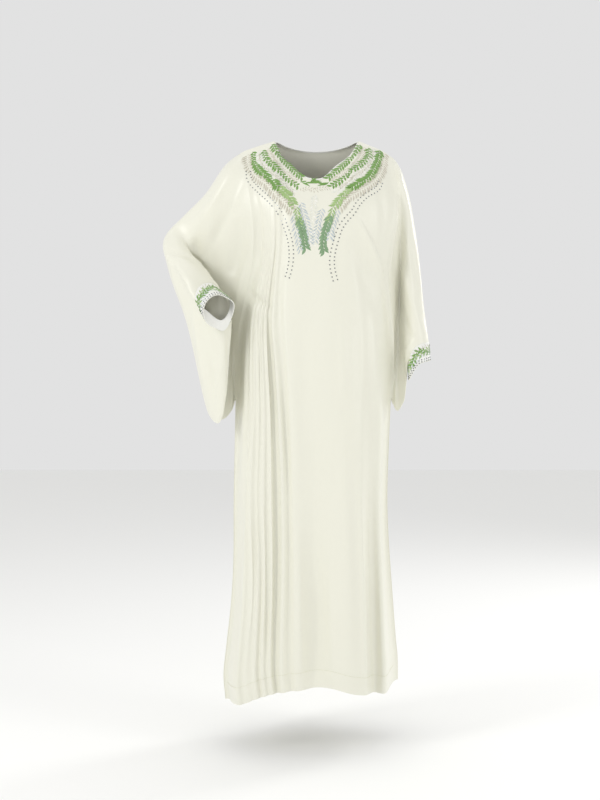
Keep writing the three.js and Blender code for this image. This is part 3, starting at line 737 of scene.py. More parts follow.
@dataclass
class BodyPanel:
    """The front or the back of the body, from the shoulder seams and the neck to the hem.

    Attributes:
        name: The solid that it stands for.
        facing: -1 for the front and 1 for the back.
        neck: The neck edge.
        hem: The hem's heights.
        folds: The fold lines.
        right_armhole: The armhole on the wearer's right.
        left_armhole: The armhole on the wearer's left.
        depth_column: The column of BODY_DEPTHS that gives this panel's depth.
        creases: The soft creases, listed one by one.
        cut: The flat width and length of the real piece, in metres; not used.
        area: Its area, in square metres; not used.
        outer: The outer points, once it is shaped.
        normals: Their outward normals.
        ghosts: The columns at the first and the last fold line, from which the sleeves carry on.
    """

    name: str
    facing: int
    neck: Sequence[Sequence[float]]
    hem: Sequence[Sequence[float]]
    folds: Sequence[Sequence[float]]
    right_armhole: Sequence[Sequence[float]]
    left_armhole: Sequence[Sequence[float]]
    depth_column: int
    creases: Sequence[Crease] = ()
    cut: tuple[float, float] = (0.62, 1.46)
    area: float = 0.66
    outer: np.ndarray = field(default=None, repr=False)
    normals: np.ndarray = field(default=None, repr=False)
    ghosts: tuple[int, int] = (0, 0)

    def edge(self, armhole: Sequence[Sequence[float]],
             seam: Sequence[Sequence[float]]) -> np.ndarray:
        """Joins an armhole and a side seam.

        Args:
            armhole: The armhole's points.
            seam: The side seam's points.

        Returns:
            One point for each row of the panel.
        """
        return np.vstack([even_points(armhole, ARMHOLE_ROWS),
                          even_points(seam, SKIRT_ROWS)[1:]])

    def columns(self, left: np.ndarray, right: np.ndarray) -> tuple[np.ndarray, np.ndarray]:
        """Spreads columns between the fold lines.

        Args:
            left: The edge on the wearer's right.
            right: The edge on the wearer's left.

        Returns:
            Shares of the width, and heights, of each column at each level.
        """
        rows = [p * ARMHOLE_ROWS if p <= 1 else ARMHOLE_ROWS + (p - 1) * SKIRT_ROWS
                for p in LEVEL_PLACES]
        order = np.arange(len(left))
        low = np.interp(rows, order, left[:, 0])
        high = np.interp(rows, order, right[:, 0])
        table = np.asarray(self.folds, float)
        levels = len(LEVEL_PLACES)
        shares = np.vstack([np.zeros(levels), (table[:, :levels] - low) / (high - low),
                            np.ones(levels)])
        proud = np.zeros_like(shares)
        proud[1:-1, 1:] = table[:, levels:]
        widths = np.diff(shares[:, SPACING_LEVEL]) * (high - low)[SPACING_LEVEL]
        all_shares, all_proud, starts = [], [], []
        for line, width in enumerate(widths):
            steps = max(2, round(width / COLUMN_SPACING))
            starts.append(len(all_shares))
            for share in np.arange(steps) / steps:
                all_shares.append(mix(shares[line], shares[line + 1], share))
                all_proud.append(mix(proud[line], proud[line + 1], soft_step(share)))
        all_shares.append(shares[-1])
        all_proud.append(proud[-1])
        self.ghosts = (starts[1], starts[-1])
        return np.array(all_shares), np.array(all_proud)

    def surface(self) -> np.ndarray:
        """Works out the outer points of the panel, on the form of its solid.

        Returns:
            Rows and columns of points.
        """
        left = self.edge(self.right_armhole, RIGHT_SIDE_SEAM)
        right = self.edge(self.left_armhole, LEFT_SIDE_SEAM)
        shares, proud = self.columns(left, right)
        rows = np.arange(ARMHOLE_ROWS + SKIRT_ROWS + 1)
        place = np.where(rows <= ARMHOLE_ROWS, rows / ARMHOLE_ROWS,
                         1 + (rows - ARMHOLE_ROWS) / SKIRT_ROWS)
        share = smooth_at(LEVEL_PLACES, shares.T, place)
        height = smooth_at(LEVEL_PLACES, proud.T, place)
        top_x = mix(left[0, 0], right[0, 0], shares[:, 0])
        neck, seams = np.asarray(self.neck, float), np.asarray(SHOULDER_SEAMS, float)
        on_neck = np.abs(top_x) < NECK_HALF_WIDTH
        top_y = np.where(on_neck, smooth_at(neck[:, 0], neck[:, 1], top_x), 0)
        top_z = np.where(on_neck, smooth_at(neck[:, 0], neck[:, 2], top_x),
                         np.interp(top_x, seams[:, 0], seams[:, 1]))

        def dropped(edge: np.ndarray) -> np.ndarray:
            """Finds how far down an edge each row lies.

            Args:
                edge: The edge's points.

            Returns:
                Shares from 0 to 1 down to the wing join, and again from there to the hem.
            """
            z, wing = edge[:, 2], edge[ARMHOLE_ROWS, 2]
            return np.where(rows <= ARMHOLE_ROWS, (z[0] - z) / (z[0] - wing),
                            (wing - z) / (wing - z[-1]))

        drop = mix(dropped(left)[:, None], dropped(right)[:, None], share)
        hem = np.asarray(self.hem, float)
        hem_z = smooth_at(hem[:, 0], hem[:, 1], mix(left[-1, 0], right[-1, 0], shares[:, -1]))
        z = np.where((rows <= ARMHOLE_ROWS)[:, None], mix(top_z, WING_JOIN_HEIGHT, drop),
                     mix(WING_JOIN_HEIGHT, hem_z, drop))
        edge_y = mix(left[:, 1:2], right[:, 1:2], share)
        hump = np.maximum(0, 1 - np.abs(2 * share - 1) ** BODY_ROUNDNESS)
        skirt = soft_step((place - SKIRT_ROUNDING_START) / SKIRT_ROUNDING_REACH)
        hump = hump ** mix(1, SKIRT_ROUNDNESS, skirt)[:, None]
        depths = np.asarray(BODY_DEPTHS, float)
        middle = self.facing * smooth_at(depths[:, 0], depths[:, self.depth_column], z)
        deep = edge_y + (middle - edge_y) * hump
        rise = np.sqrt(1 - (1 - np.clip((top_z - z) / SHOULDER_ROUNDING, 0, 1)) ** 2)
        inside = top_y + (deep - top_y) * rise
        nearest = np.minimum(share, 1 - share)
        relief = self.facing * soft_step(nearest / FOLD_EDGE_SHARE) * height
        y = mix(edge_y, inside, soft_step(nearest / BODY_EDGE_SHARE)) + relief
        grid = np.stack([mix(left[:, :1], right[:, :1], share), y, z], -1)
        grid[:, 0], grid[:, -1] = left, right
        return grid

    def shape(self) -> None:
        """Shapes the panel: the form of its solid, then creases and the turned hem."""
        self.outer = self.surface()
        self.normals = grid_normals(self.outer, False, self.facing)
        lift = sum(crease.relief(self.outer, self.normals) for crease in self.creases)
        in_hem = self.outer[-1:, :, 2] + HEM_DEPTH - self.outer[..., 2]
        lift = lift + HEM_LIFT * soft_step(in_hem / HEM_SOFTNESS)
        count = self.outer.shape[1]
        from_edge = np.minimum(np.arange(count), np.arange(count)[::-1])
        top = np.arange(len(self.outer))[:, None]
        lift = (lift * soft_step(from_edge / SEAM_FADE_COLUMNS)[None, :]
                * soft_step(top / TOP_FADE_ROWS))
        self.outer = self.outer + self.normals * lift[..., None]
        self.normals = grid_normals(self.outer, False, self.facing)

    def build(self) -> bpy.types.Object:
        """Builds the panel's thin shell.

        Returns:
            The piece.
        """
        inner = self.outer - self.normals * SHELL_THICKNESS
        return shell_mesh(f"satin_{self.name}", self.outer, inner, False)


@dataclass
class Sleeve:
    """A batwing sleeve and its cuff, from the armhole to the opening at the hand.

    Attributes:
        name: The sleeve's solid.
        cuff_name: The cuff's solid.
        right: Whether it is the wearer's right sleeve.
        rings: The sleeve's rings.
        cuff_end: The ring at the cuff's opening.
        creases: The soft creases, listed one by one.
        cut: The flat width and length of the real sleeve, in metres; not used.
        area: Its area, in square metres; not used.
        cuff_cut: The flat width and length of the real cuff band, in metres; not used.
        outer: The outer points of both, once they are shaped.
        normals: Their outward normals.
    """

    name: str
    cuff_name: str
    right: bool
    rings: Sequence[Sequence[float]]
    cuff_end: Sequence[float]
    creases: Sequence[Crease]
    cut: tuple[float, float]
    area: float
    cuff_cut: tuple[float, float]
    outer: np.ndarray = field(default=None, repr=False)
    normals: np.ndarray = field(default=None, repr=False)

    def ring(self, row: Sequence[float]) -> np.ndarray:
        """Works out one ring: a round over the arm, then two sides that close at the seam.

        Args:
            row: A row of the ring table.

        Returns:
            The ring's points, from over the arm down the front side and up the back side.
        """
        over, arm, knee, seam = (np.array(row[k:k + 3], float) for k in (1, 4, 7, 10))
        facing, front_share, front_closing, back_closing, parting = row[13:18]
        radius = np.linalg.norm(arm - over)
        middle = curve_points((over, arm, knee, seam), CURVE_SAMPLES)
        fall = line_length(middle) - radius
        down = unit(seam - over)
        turn = math.radians(facing)
        frontward = np.array([math.sin(turn), -math.cos(turn), 0])
        frontward = unit(frontward - down * (frontward @ down))
        share = (np.arange(RING_SAMPLES + 1) / RING_SAMPLES) ** RING_CROWDING
        reach = share * (radius + fall) - radius
        base = along(middle, share)
        rounded = np.sqrt(np.maximum(0, radius ** 2 - reach ** 2))

        def half(direction: np.ndarray, closing: float, width: float) -> np.ndarray:
            """Works out one side of the ring.

            Args:
                direction: The way that it stands out from the middle.
                closing: The length over which it narrows, in millimetres.
                width: Its share of the arm's width.

            Returns:
                Its points, from over the arm to the under-arm seam.
            """
            narrowed = parting + (radius * width - parting) * np.exp(-(reach / closing) ** 2)
            closed = narrowed * np.sqrt(np.maximum(0, 1 - (reach / fall) ** RING_SQUARENESS))
            out = np.where(reach < 0, width * rounded, closed)
            return along(base + direction * out[:, None], np.linspace(0, 1, ARMHOLE_ROWS + 1))

        front = half(frontward, front_closing, front_share)
        back = half(-frontward, back_closing, 1)
        return np.vstack([front, back[1:-1][::-1]])

    def shape(self, front: BodyPanel, back: BodyPanel) -> None:
        """Shapes the sleeve and its cuff from the armhole outwards.

        Args:
            front: The front panel, already shaped.
            back: The back panel, already shaped.
        """
        side, edge = (0, 0) if self.right else (1, -1)

        def armhole(front_column: int, back_column: int) -> np.ndarray:
            """Goes round the armhole, down the front panel and up the back panel.

            Args:
                front_column: The front panel's column.
                back_column: The back panel's column.

            Returns:
                The points, as many as a ring has.
            """
            down = front.outer[:ARMHOLE_ROWS + 1, front_column]
            up = back.outer[1:ARMHOLE_ROWS, back_column][::-1]
            return np.vstack([down, up])

        ghost = armhole(front.ghosts[side], back.ghosts[side])
        start = armhole(edge, edge)
        keys = np.array([ghost, start, *(self.ring(row) for row in self.rings)])
        places = [GHOST_PLACE, 0, *(row[0] for row in self.rings)]
        grid = smooth_at(places, keys, np.arange(SLEEVE_STEPS + 1) / SLEEVE_STEPS)
        shares = (np.arange(1, CUFF_STEPS + 1) / CUFF_STEPS)[:, None, None]
        cuff = mix(grid[-1:], self.ring(self.cuff_end)[None], shares)
        whole = np.concatenate([ghost[None], grid, cuff])
        sign = -1 if self.right else 1
        normals = grid_normals(whole, True, sign)[1:]
        outer = whole[1:]
        lift = sum((crease.relief(outer, normals) for crease in self.creases),
                   np.zeros(outer.shape[:2]))
        row = np.arange(len(outer))[:, None]
        lift = (lift * soft_step(row / ARMHOLE_FADE_ROWS)
                * soft_step((SLEEVE_STEPS - row) / CUFF_FADE_ROWS))
        self.outer = outer + normals * lift[..., None]
        self.normals = grid_normals(np.concatenate([ghost[None], self.outer]), True, sign)[1:]

    def build(self) -> tuple[bpy.types.Object, bpy.types.Object]:
        """Builds the thin shells of the sleeve and of its cuff.

        Returns:
            The sleeve and the cuff.
        """
        inner = self.outer - self.normals * SHELL_THICKNESS
        cut = SLEEVE_STEPS
        sleeve = shell_mesh(f"satin_{self.name}", self.outer[:cut + 1], inner[:cut + 1], True)
        band = self.outer[cut:] + self.normals[cut:] * CUFF_LIFT
        cuff = shell_mesh(f"satin_{self.cuff_name}", band, inner[cut:], True)
        return sleeve, cuff


# Soft creases. Each row: the line's points x, z, the height, the half-width, the steepness.
FRONT_CREASES = creases(Side.FRONT, (
    (((-138, -150), (-144, -240), (-136, -330)), -7, 19, 0),
    (((-176, -350), (-160, -380), (-136, -400), (-110, -410)), -5, 11, 0.3),
    (((-104, -170), (-107, -250), (-106, -340)), 2.5, 9, 0),
    (((-168, -418), (-171, -530), (-178, -650)), -4, 7, 0),
    (((-151, -424), (-142, -520), (-139, -640)), -4.5, 8, 0.3),
    (((-128, -420), (-113, -560), (-105, -720)), -4.5, 9, 0),
    (((-186, -440), (-190, -560), (-194, -690)), -4.5, 6, 0),
    (((-90, -380), (-82, -520), (-74, -680), (-66, -860)), -4.5, 8, 0.4),
    (((-116, -450), (-107, -620), (-97, -850), (-98, -1100), (-97, -1335)), -5, 10, 0),
    (((-142, -690), (-148, -900), (-155, -1100), (-167, -1335)), -6, 7, 0),
    (((-168, -600), (-178, -850), (-187, -1050), (-200, -1320)), -6.5, 7, 0.3),
    (((-124, -880), (-122, -1060), (-121, -1250)), -3.5, 6, 0),
    (((-50, -900), (-46, -1110), (-38, -1310)), 4.5, 12, 0),
    (((-8, -940), (-4, -1120), (0, -1320)), -7, 26, 0),
    (((30, -1040), (34, -1180), (38, -1310)), 3, 11, 0),
    (((66, -700), (70, -950), (76, -1150), (82, -1330)), 5, 15, 0),
    (((104, -800), (108, -1000), (114, -1180), (118, -1335)), 5, 8, 0.5),
    (((134, -820), (138, -1050), (146, -1335)), -7, 13, 0),
    (((172, -900), (177, -1100), (184, -1320)), -4, 9, 0),
    (((58, -420), (62, -520), (66, -640)), 3.5, 11, 0),
    (((98, -430), (101, -540), (104, -700)), -3, 11, 0),
    (((134, -430), (138, -520), (141, -640)), 4, 11, 0),
    (((95, -196), (130, -262), (158, -325), (180, -398)), 8, 11, 0.6),
    (((78, -240), (112, -330), (146, -430)), -4, 16, 0),
    (((150, -120), (163, -190), (160, -260)), -4, 12, 0),
    (((168, -370), (178, -430), (186, -500)), -6, 8, 0),
    (((166, -460), (165, -560), (163, -680)), -3.5, 9, 0),
    (((-42, -400), (-32, -560), (-36, -720)), -2.5, 22, 0),
    (((18, -300), (26, -470), (20, -650)), 2, 24, 0),
    (((-60, -560), (-52, -700), (-48, -840)), 2.5, 12, 0),
))
BACK_CREASES = creases(Side.BACK, (
    (((-62, -110), (-66, -260), (-60, -400)), -5.2, 16, 0),
    (((72, -130), (66, -260), (60, -430)), -4.5, 15, 0),
    (((-132, -84), (-120, -160), (-88, -250)), 5.2, 14, 0),
    (((142, -76), (130, -160), (98, -240)), 4.5, 13, 0),
    (((2, -280), (6, -560), (0, -820)), 3.8, 20, 0),
    (((-150, -360), (-166, -540), (-177, -800)), 5.2, 9, 0.3),
    (((-110, -410), (-118, -640), (-127, -900), (-139, -1310)), -7.5, 11, 0),
    (((-92, -840), (-94, -1080), (-101, -1325)), 7.5, 13, 0),
    (((-40, -540), (-52, -860), (-61, -1320)), -8.2, 14, 0),
    (((-22, -950), (-10, -1130), (-6, -1325)), 9, 18, 0),
    (((50, -500), (54, -800), (56, -1060), (60, -1320)), -6.8, 13, 0),
    (((88, -880), (96, -1100), (103, -1325)), 7.5, 14, 0.3),
    (((112, -480), (122, -800), (132, -1100), (141, -1320)), -7.5, 10, 0),
    (((150, -400), (153, -600), (160, -900), (173, -1300)), 5.2, 10, 0),
    (((-176, -900), (-186, -1100), (-204, -1320)), -6, 8, 0),
    (((160, -120), (172, -210), (168, -320)), -6, 11, 0),
    (((-150, -110), (-154, -200), (-146, -300)), -6, 12, 0),
))
RIGHT_SLEEVE_CREASES = creases(Side.FRONT, (
    (((-372, -268), (-340, -276), (-305, -288), (-280, -308), (-258, -332)), -6, 9, 0.4),
    (((-326, -236), (-292, -288), (-252, -338)), 4, 10, 0),
    (((-314, -240), (-298, -268), (-282, -294)), -5, 11, 0),
    (((-372, -292), (-342, -320), (-310, -346), (-288, -368)), 3.5, 11, 0),
    (((-192, -50), (-238, -126), (-292, -204)), 4, 14, 0),
    (((-178, -96), (-214, -180), (-262, -264)), -5, 14, 0.2),
    (((-230, -96), (-280, -156), (-332, -200)), -3, 10, 0),
    (((-186, -190), (-192, -270), (-206, -340)), -10, 22, 0),
    (((-176, -300), (-190, -360), (-206, -430)), 3.5, 10, 0),
    (((-256, -520), (-255, -590), (-252, -650)), -5, 9, 0),
    (((-232, -520), (-238, -600), (-231, -684)), 4.5, 9, 0),
    (((-302, -420), (-290, -520), (-271, -630)), 3, 9, 0),
    (((-322, -390), (-308, -470), (-296, -540)), -3, 8, 0),
    (((-215, -440), (-214, -540), (-217, -650)), -3.5, 7, 0),
)) + creases(Side.BACK, (
    (((-200, -76), (-250, -168), (-312, -252)), -4, 14, 0),
    (((-188, -190), (-232, -330), (-292, -424)), -5, 14, 0.3),
    (((-230, -190), (-282, -300), (-342, -344)), 4, 12, 0),
    (((-204, -320), (-240, -450), (-263, -570)), 4.5, 13, 0),
    (((-214, -460), (-230, -560), (-241, -650)), -4, 9, 0),
    (((-302, -370), (-292, -470), (-275, -570)), -3.5, 9, 0),
))
LEFT_SLEEVE_CREASES = creases(Side.FRONT, (
    (((200, -76), (222, -176), (237, -292)), 3.5, 11, 0),
    (((212, -140), (232, -260), (249, -376)), -4, 8, 0.3),
    (((198, -210), (192, -290), (197, -366)), -4, 8, 0),
    (((208, -296), (228, -380), (251, -456)), 4, 8, 0),
    (((202, -364), (213, -430), (231, -486)), -4, 7, 0),
    (((240, -190), (254, -320), (266, -426)), 3, 6, 0),
    (((207, -530), (208, -580), (207, -630)), 3, 6, 0),
    (((198, -430), (197, -500), (198, -570)), -3.5, 6, 0),
)) + creases(Side.BACK, (
    (((206, -110), (227, -240), (241, -366)), -4, 10, 0),
    (((200, -250), (217, -360), (243, -446)), 4, 9, 0),
    (((197, -370), (206, -470), (215, -570)), -4, 8, 0.3),
    (((201, -470), (206, -560), (204, -636)), 3, 7, 0),
))


@dataclass
class Binding:
    """The narrow band that carries the neck edge on into the opening.

    Attributes:
        name: The solid that it stands for.
        inside: A point in the neck opening, in millimetres.
        sides: The number of faces round the band.
        sunk: How far its middle lies below the cloth's outer face, in millimetres.
        half_thickness: Half its thickness, in millimetres.
        roundness: The power that rounds its section: 1 for an oval, near 0 for a box.
        end_reach: How far past the neck's width the front goes and the back stops short of it,
            in millimetres, so that each end point is taken once.
        passes: How often the normals along the neck are evened out.
    """

    name: str = "neck_binding"
    inside: tuple[float, float, float] = (0, -15, -35)
    sides: int = 10
    sunk: float = 0.9
    half_thickness: float = 1.3
    roundness: float = 0.7
    end_reach: float = 0.5
    passes: int = 4

    def build(self, front: BodyPanel, back: BodyPanel) -> bpy.types.Object:
        """Sweeps a rounded band round the neck edge.

        Args:
            front: The front panel, already shaped.
            back: The back panel, already shaped.

        Returns:
            The piece.
        """
        stations, normals = [], []
        for panel, order in ((front, 1), (back, -1)):
            on = np.abs(panel.outer[0, :, 0]) < NECK_HALF_WIDTH + order * self.end_reach
            stations.append(panel.outer[0, on][::order])
            normals.append(panel.normals[0, on][::order])
        ring, outward = np.vstack(stations), np.vstack(normals)
        for _ in range(self.passes):
            outward = unit(np.roll(outward, 1, 0) + 2 * outward + np.roll(outward, -1, 0))
        way = np.roll(ring, -1, 0) - np.roll(ring, 1, 0)
        inward = unit(np.cross(way, outward))
        flip = np.sign(((np.array(self.inside) - ring) * inward).sum(1))
        inward = inward * flip[:, None]
        turns = np.linspace(0, 2 * math.pi, self.sides, endpoint=False)
        section = np.stack([np.cos(turns), np.sin(turns)])
        section = np.sign(section) * np.abs(section) ** self.roundness
        across = BINDING_GAP + BINDING_WIDTH / 2 * (1 + section[0])
        depth = self.half_thickness * section[1] - self.sunk
        points = (ring[:, None] + inward[:, None] * across[None, :, None]
                  + outward[:, None] * depth[None, :, None])
        return tube_object(f"bound_{self.name}", points, True)


def tube_object(name: str, rings: np.ndarray, closed: bool) -> bpy.types.Object:
    """Builds a tube from rings of points.

    Args:
        name: The piece's name.
        rings: Rings by points, in millimetres.
        closed: Whether the last ring joins the first.

    Returns:
        The new object.
    """
    count, sides = rings.shape[:2]
    index = np.arange(count * sides).reshape(count, sides)
    index = np.concatenate([index, index[:, :1]], axis=1)
    if closed:
        index = np.concatenate([index, index[:1]])
    faces = quads(index).tolist()
    if not closed:
        faces += [list(range(sides))[::-1], list(range((count - 1) * sides, count * sides))]
    mesh = bpy.data.meshes.new(name)
    mesh.from_pydata((rings.reshape(-1, 3) * MM).tolist(), [], faces)
    mesh.update()
    return finished_object(name, mesh)


# Shapes that are set many times over, one unit long or one unit in radius

def leaf_shape(name: str, width: float) -> bpy.types.Object:
    """Builds one embroidered leaf: domed, with a vein down its middle and a slight bend.

    Args:
        name: The shape's name.
        width: Its width as a share of its length.

    Returns:
        A leaf one unit long that lies along X and stands up along Z.
    """
    fullness, tip, bend, sunk = 0.8, 0.04, 0.06, 0.008
    dome, vein_depth, vein_width = 0.07, 0.03, 0.2
    run, across = np.meshgrid(np.linspace(0, 1, 7), np.linspace(-1, 1, 5), indexing="ij")
    swell = np.sin(np.pi * run ** fullness)
    half = 0.5 * width * np.maximum(swell, tip)
    y = bend * np.sin(np.pi * run) + half * across
    vein = vein_depth * swell * np.exp(-(across / vein_width) ** 2)
    z = dome * swell * (1 - across ** 2) - vein - sunk
    faces = quads(np.arange(run.size).reshape(run.shape))
    mesh = bpy.data.meshes.new(name)
    mesh.from_pydata(np.stack([run, y, z], -1).reshape(-1, 3).tolist(), [], faces.tolist())
    return finished_object(name, mesh)


def stitch_shape(name: str) -> bpy.types.Object:
    """Builds one stitch: a short thread whose ends dip into the cloth.

    Args:
        name: The shape's name.

    Returns:
        A stitch one unit long that lies along X.
    """
    steps, radius, arch, sunk = 6, 0.12, 0.16, 0.06
    run = np.linspace(0, 1, steps)
    turns = np.linspace(0, 2 * math.pi, steps, endpoint=False)
    height = arch * np.sin(np.pi * run) - sunk
    rings = np.stack([np.broadcast_to(run[:, None], (steps, steps)),
                      radius * np.broadcast_to(np.cos(turns), (steps, steps)),
                      height[:, None] + radius * np.sin(turns)[None, :]], -1)
    return tube_object(name, rings / MM, False)


def stone_shape(name: str) -> bpy.types.Object:
    """Builds one cut stone: eight sloping sides cut in two, and a flat top.

    Args:
        name: The shape's name.

    Returns:
        A stone of radius 1 whose flat back lies in the plane z = 0.
    """
    sides, top_radius, height = 8, 0.55, 0.62
    turns = np.arange(sides) * math.pi / (sides / 2)
    base = np.stack([np.cos(turns), np.sin(turns), np.zeros(sides)], -1)
    turns = turns + math.pi / sides
    table = np.stack([top_radius * np.cos(turns), top_radius * np.sin(turns),
                      np.full(sides, height)], -1)
    faces = [tuple(range(sides, 2 * sides)), tuple(range(sides - 1, -1, -1))]
    for k in range(sides):
        after = (k + 1) % sides
        faces += [(k, after, sides + k), (after, sides + after, sides + k)]
    mesh = bpy.data.meshes.new(name)
    mesh.from_pydata(np.vstack([base, table]).tolist(), [], faces)
    return finished_object(name, mesh, smooth=False)


@dataclass
class Laid:
    """Places for a shape: where each one lies, which way it points and how large it is.

    Attributes:
        points: Where each one starts, in millimetres.
        ways: The way that each one points.
        normals: The cloth's outward normals.
        sizes: Their sizes, in millimetres.
    """

    points: np.ndarray
    ways: np.ndarray
    normals: np.ndarray
    sizes: np.ndarray

    def turns(self) -> np.ndarray:
        """Works out the turn of each one.

        Returns:
            One Euler turn for each, in radians.
        """
        z = unit(self.normals)
        x = unit(self.ways - z * (self.ways * z).sum(-1, keepdims=True))
        y = np.cross(z, x)
        frames = np.stack([x, y, z], -1)
        return np.array([tuple(Matrix(f.tolist()).to_euler()) for f in frames])


def together(parts: Sequence[Laid]) -> Laid:
    """Joins several sets of places.

    Args:
        parts: The sets.

    Returns:
        One set.
    """
    return Laid(*(np.concatenate([getattr(part, key) for part in parts])
                  for key in ("points", "ways", "normals", "sizes")))


class Scatter:
    """A geometry node tree that sets one shape on every place, and the meshes made with it."""

    def __init__(self) -> None:
        """Builds the node tree with its named inputs."""
        tree = bpy.data.node_groups.new("set one shape on each place", "GeometryNodeTree")
        self.tree = tree
        for name, kind in (("Geometry", "NodeSocketGeometry"), ("Shape", "NodeSocketObject"),
                           ("Size variation", "NodeSocketFloat"), ("Seed", "NodeSocketInt"),
                           ("Material", "NodeSocketMaterial")):
            tree.interface.new_socket(name, in_out="INPUT", socket_type=kind)
        tree.interface.new_socket("Geometry", in_out="OUTPUT", socket_type="NodeSocketGeometry")
        start = add_node(tree, "NodeGroupInput", (-1100, 0))
        end = add_node(tree, "NodeGroupOutput", (900, 0))
        shape = add_node(tree, "GeometryNodeObjectInfo", (-500, -150))
        turn = add_node(tree, "GeometryNodeInputNamedAttribute", (-800, -400),
                        data_type="FLOAT_VECTOR", in_Name="turn")
        rotation = add_node(tree, "FunctionNodeEulerToRotation", (-500, -400))
        size = add_node(tree, "GeometryNodeInputNamedAttribute", (-800, -600),
                        data_type="FLOAT", in_Name="size")
        chance = add_node(tree, "FunctionNodeRandomValue", (-800, -800), data_type="FLOAT")
        chance.inputs[2].default_value = -1.0
        chance.inputs[3].default_value = 1.0
        factor = add_node(tree, "ShaderNodeMath", (-500, -800), operation="MULTIPLY_ADD")
        factor.inputs[2].default_value = 1.0
        scale = add_node(tree, "ShaderNodeMath", (-250, -600), operation="MULTIPLY")
        instances = add_node(tree, "GeometryNodeInstanceOnPoints", (0, 0))
        real = add_node(tree, "GeometryNodeRealizeInstances", (300, 0))
        finish = add_node(tree, "GeometryNodeSetMaterial", (600, 0))
        for source, target in (
            (start.outputs["Geometry"], instances.inputs["Points"]),
            (start.outputs["Shape"], shape.inputs["Object"]),
            (shape.outputs["Geometry"], instances.inputs["Instance"]),
            (turn.outputs["Attribute"], rotation.inputs["Euler"]),
            (rotation.outputs["Rotation"], instances.inputs["Rotation"]),
            (start.outputs["Seed"], chance.inputs["Seed"]),
            (chance.outputs[1], factor.inputs[0]),
            (start.outputs["Size variation"], factor.inputs[1]),
            (size.outputs["Attribute"], scale.inputs[0]),
            (factor.outputs["Value"], scale.inputs[1]),
            (scale.outputs["Value"], instances.inputs["Scale"]),
            (instances.outputs["Instances"], real.inputs["Geometry"]),
            (real.outputs["Geometry"], finish.inputs["Geometry"]),
            (start.outputs["Material"], finish.inputs["Material"]),
            (finish.outputs["Geometry"], end.inputs["Geometry"]),
        ):
            tree.links.new(source, target)

    def build(self, name: str, laid: Laid, shape: bpy.types.Object, material: bpy.types.Material,
              variation: float, seed: int, smooth: bool = True) -> bpy.types.Object:
        """Sets a shape on each place and keeps the result as a plain mesh.

        Args:
            name: The new piece's name.
            laid: The places.
            shape: The shape.
            material: The finish.
            variation: How much the sizes vary, as a share.
            seed: The seed of that variation.
            smooth: Whether the piece is shaded smooth.

        Returns:
            The new piece.
        """
        points = bpy.data.meshes.new(name)
        points.from_pydata((laid.points * MM).tolist(), [], [])
        turn = points.attributes.new("turn", "FLOAT_VECTOR", "POINT")
        turn.data.foreach_set("vector", laid.turns().astype(np.float32).ravel())
        size = points.attributes.new("size", "FLOAT", "POINT")
        size.data.foreach_set("value", (laid.sizes * MM).astype(np.float32))
        host = bpy.data.objects.new(f"{name}_places", points)
        bpy.context.scene.collection.objects.link(host)
        modifier = host.modifiers.new("scatter", "NODES")
        modifier.node_group = self.tree
        values = {"Shape": shape, "Size variation": variation, "Seed": seed, "Material": material}
        for item in self.tree.interface.items_tree:
            if item.item_type == "SOCKET" and item.in_out == "INPUT" and item.name in values:
                modifier[item.identifier] = values[item.name]
        bpy.context.view_layer.update()
        placed = host.evaluated_get(bpy.context.evaluated_depsgraph_get())
        mesh = bpy.data.meshes.new_from_object(placed)
        mesh.name = name
        host.modifiers.clear()
        bpy.data.objects.remove(host)
        return finished_object(name, mesh, smooth)


# Embroidery

# Sizes of what is sewn on, in millimetres
LEAF_LIFT = 0.15
STONE_RADIUS = 1.7
STONE_SPACING = 9.5
CUFF_STONE_SPACING = STONE_SPACING * 0.8
STONE_LINES_APART = 11.0
STITCH_LENGTH = 3.0
STITCH_SPACING = 4.2
STEM_SPACING = 3.4
STEM_LENGTH = STEM_SPACING * 1.1

# Where the leaves start on each side of their line, as shares of their spacing, and how far
# their lean varies, in degrees
LEAF_STARTS = {1: 0.3, -1: 0.7}
LEAN_SPREAD = 7

# How much the sizes vary, as shares
LEAF_VARIATION = 0.14
STEM_VARIATION = 0.05
STONE_VARIATION = 0.04
STITCH_VARIATION = 0.06

# How charted lines are carried onto the cloth: samples between two knots, millimetres between
# points, the fewest points, and how often the normals are evened out
CHART_SAMPLES = 40
CHART_STEP = 2.0
CHART_POINTS = 4
CHART_PASSES = 3

# How a line's frames are found: the weight of the normals, and the share looked ahead and behind
NORMAL_WEIGHT = 1e-6
FRAME_REACH = 0.01

# The hem's stitches: columns left out at each side seam, and rows searched from the edge
HEM_MARGIN = 2
HEM_ROWS = 40


class Leaf(Enum):
    """The widths of the embroidered leaves, as shares of their length."""

    BROAD = 0.4
    SLENDER = 0.22


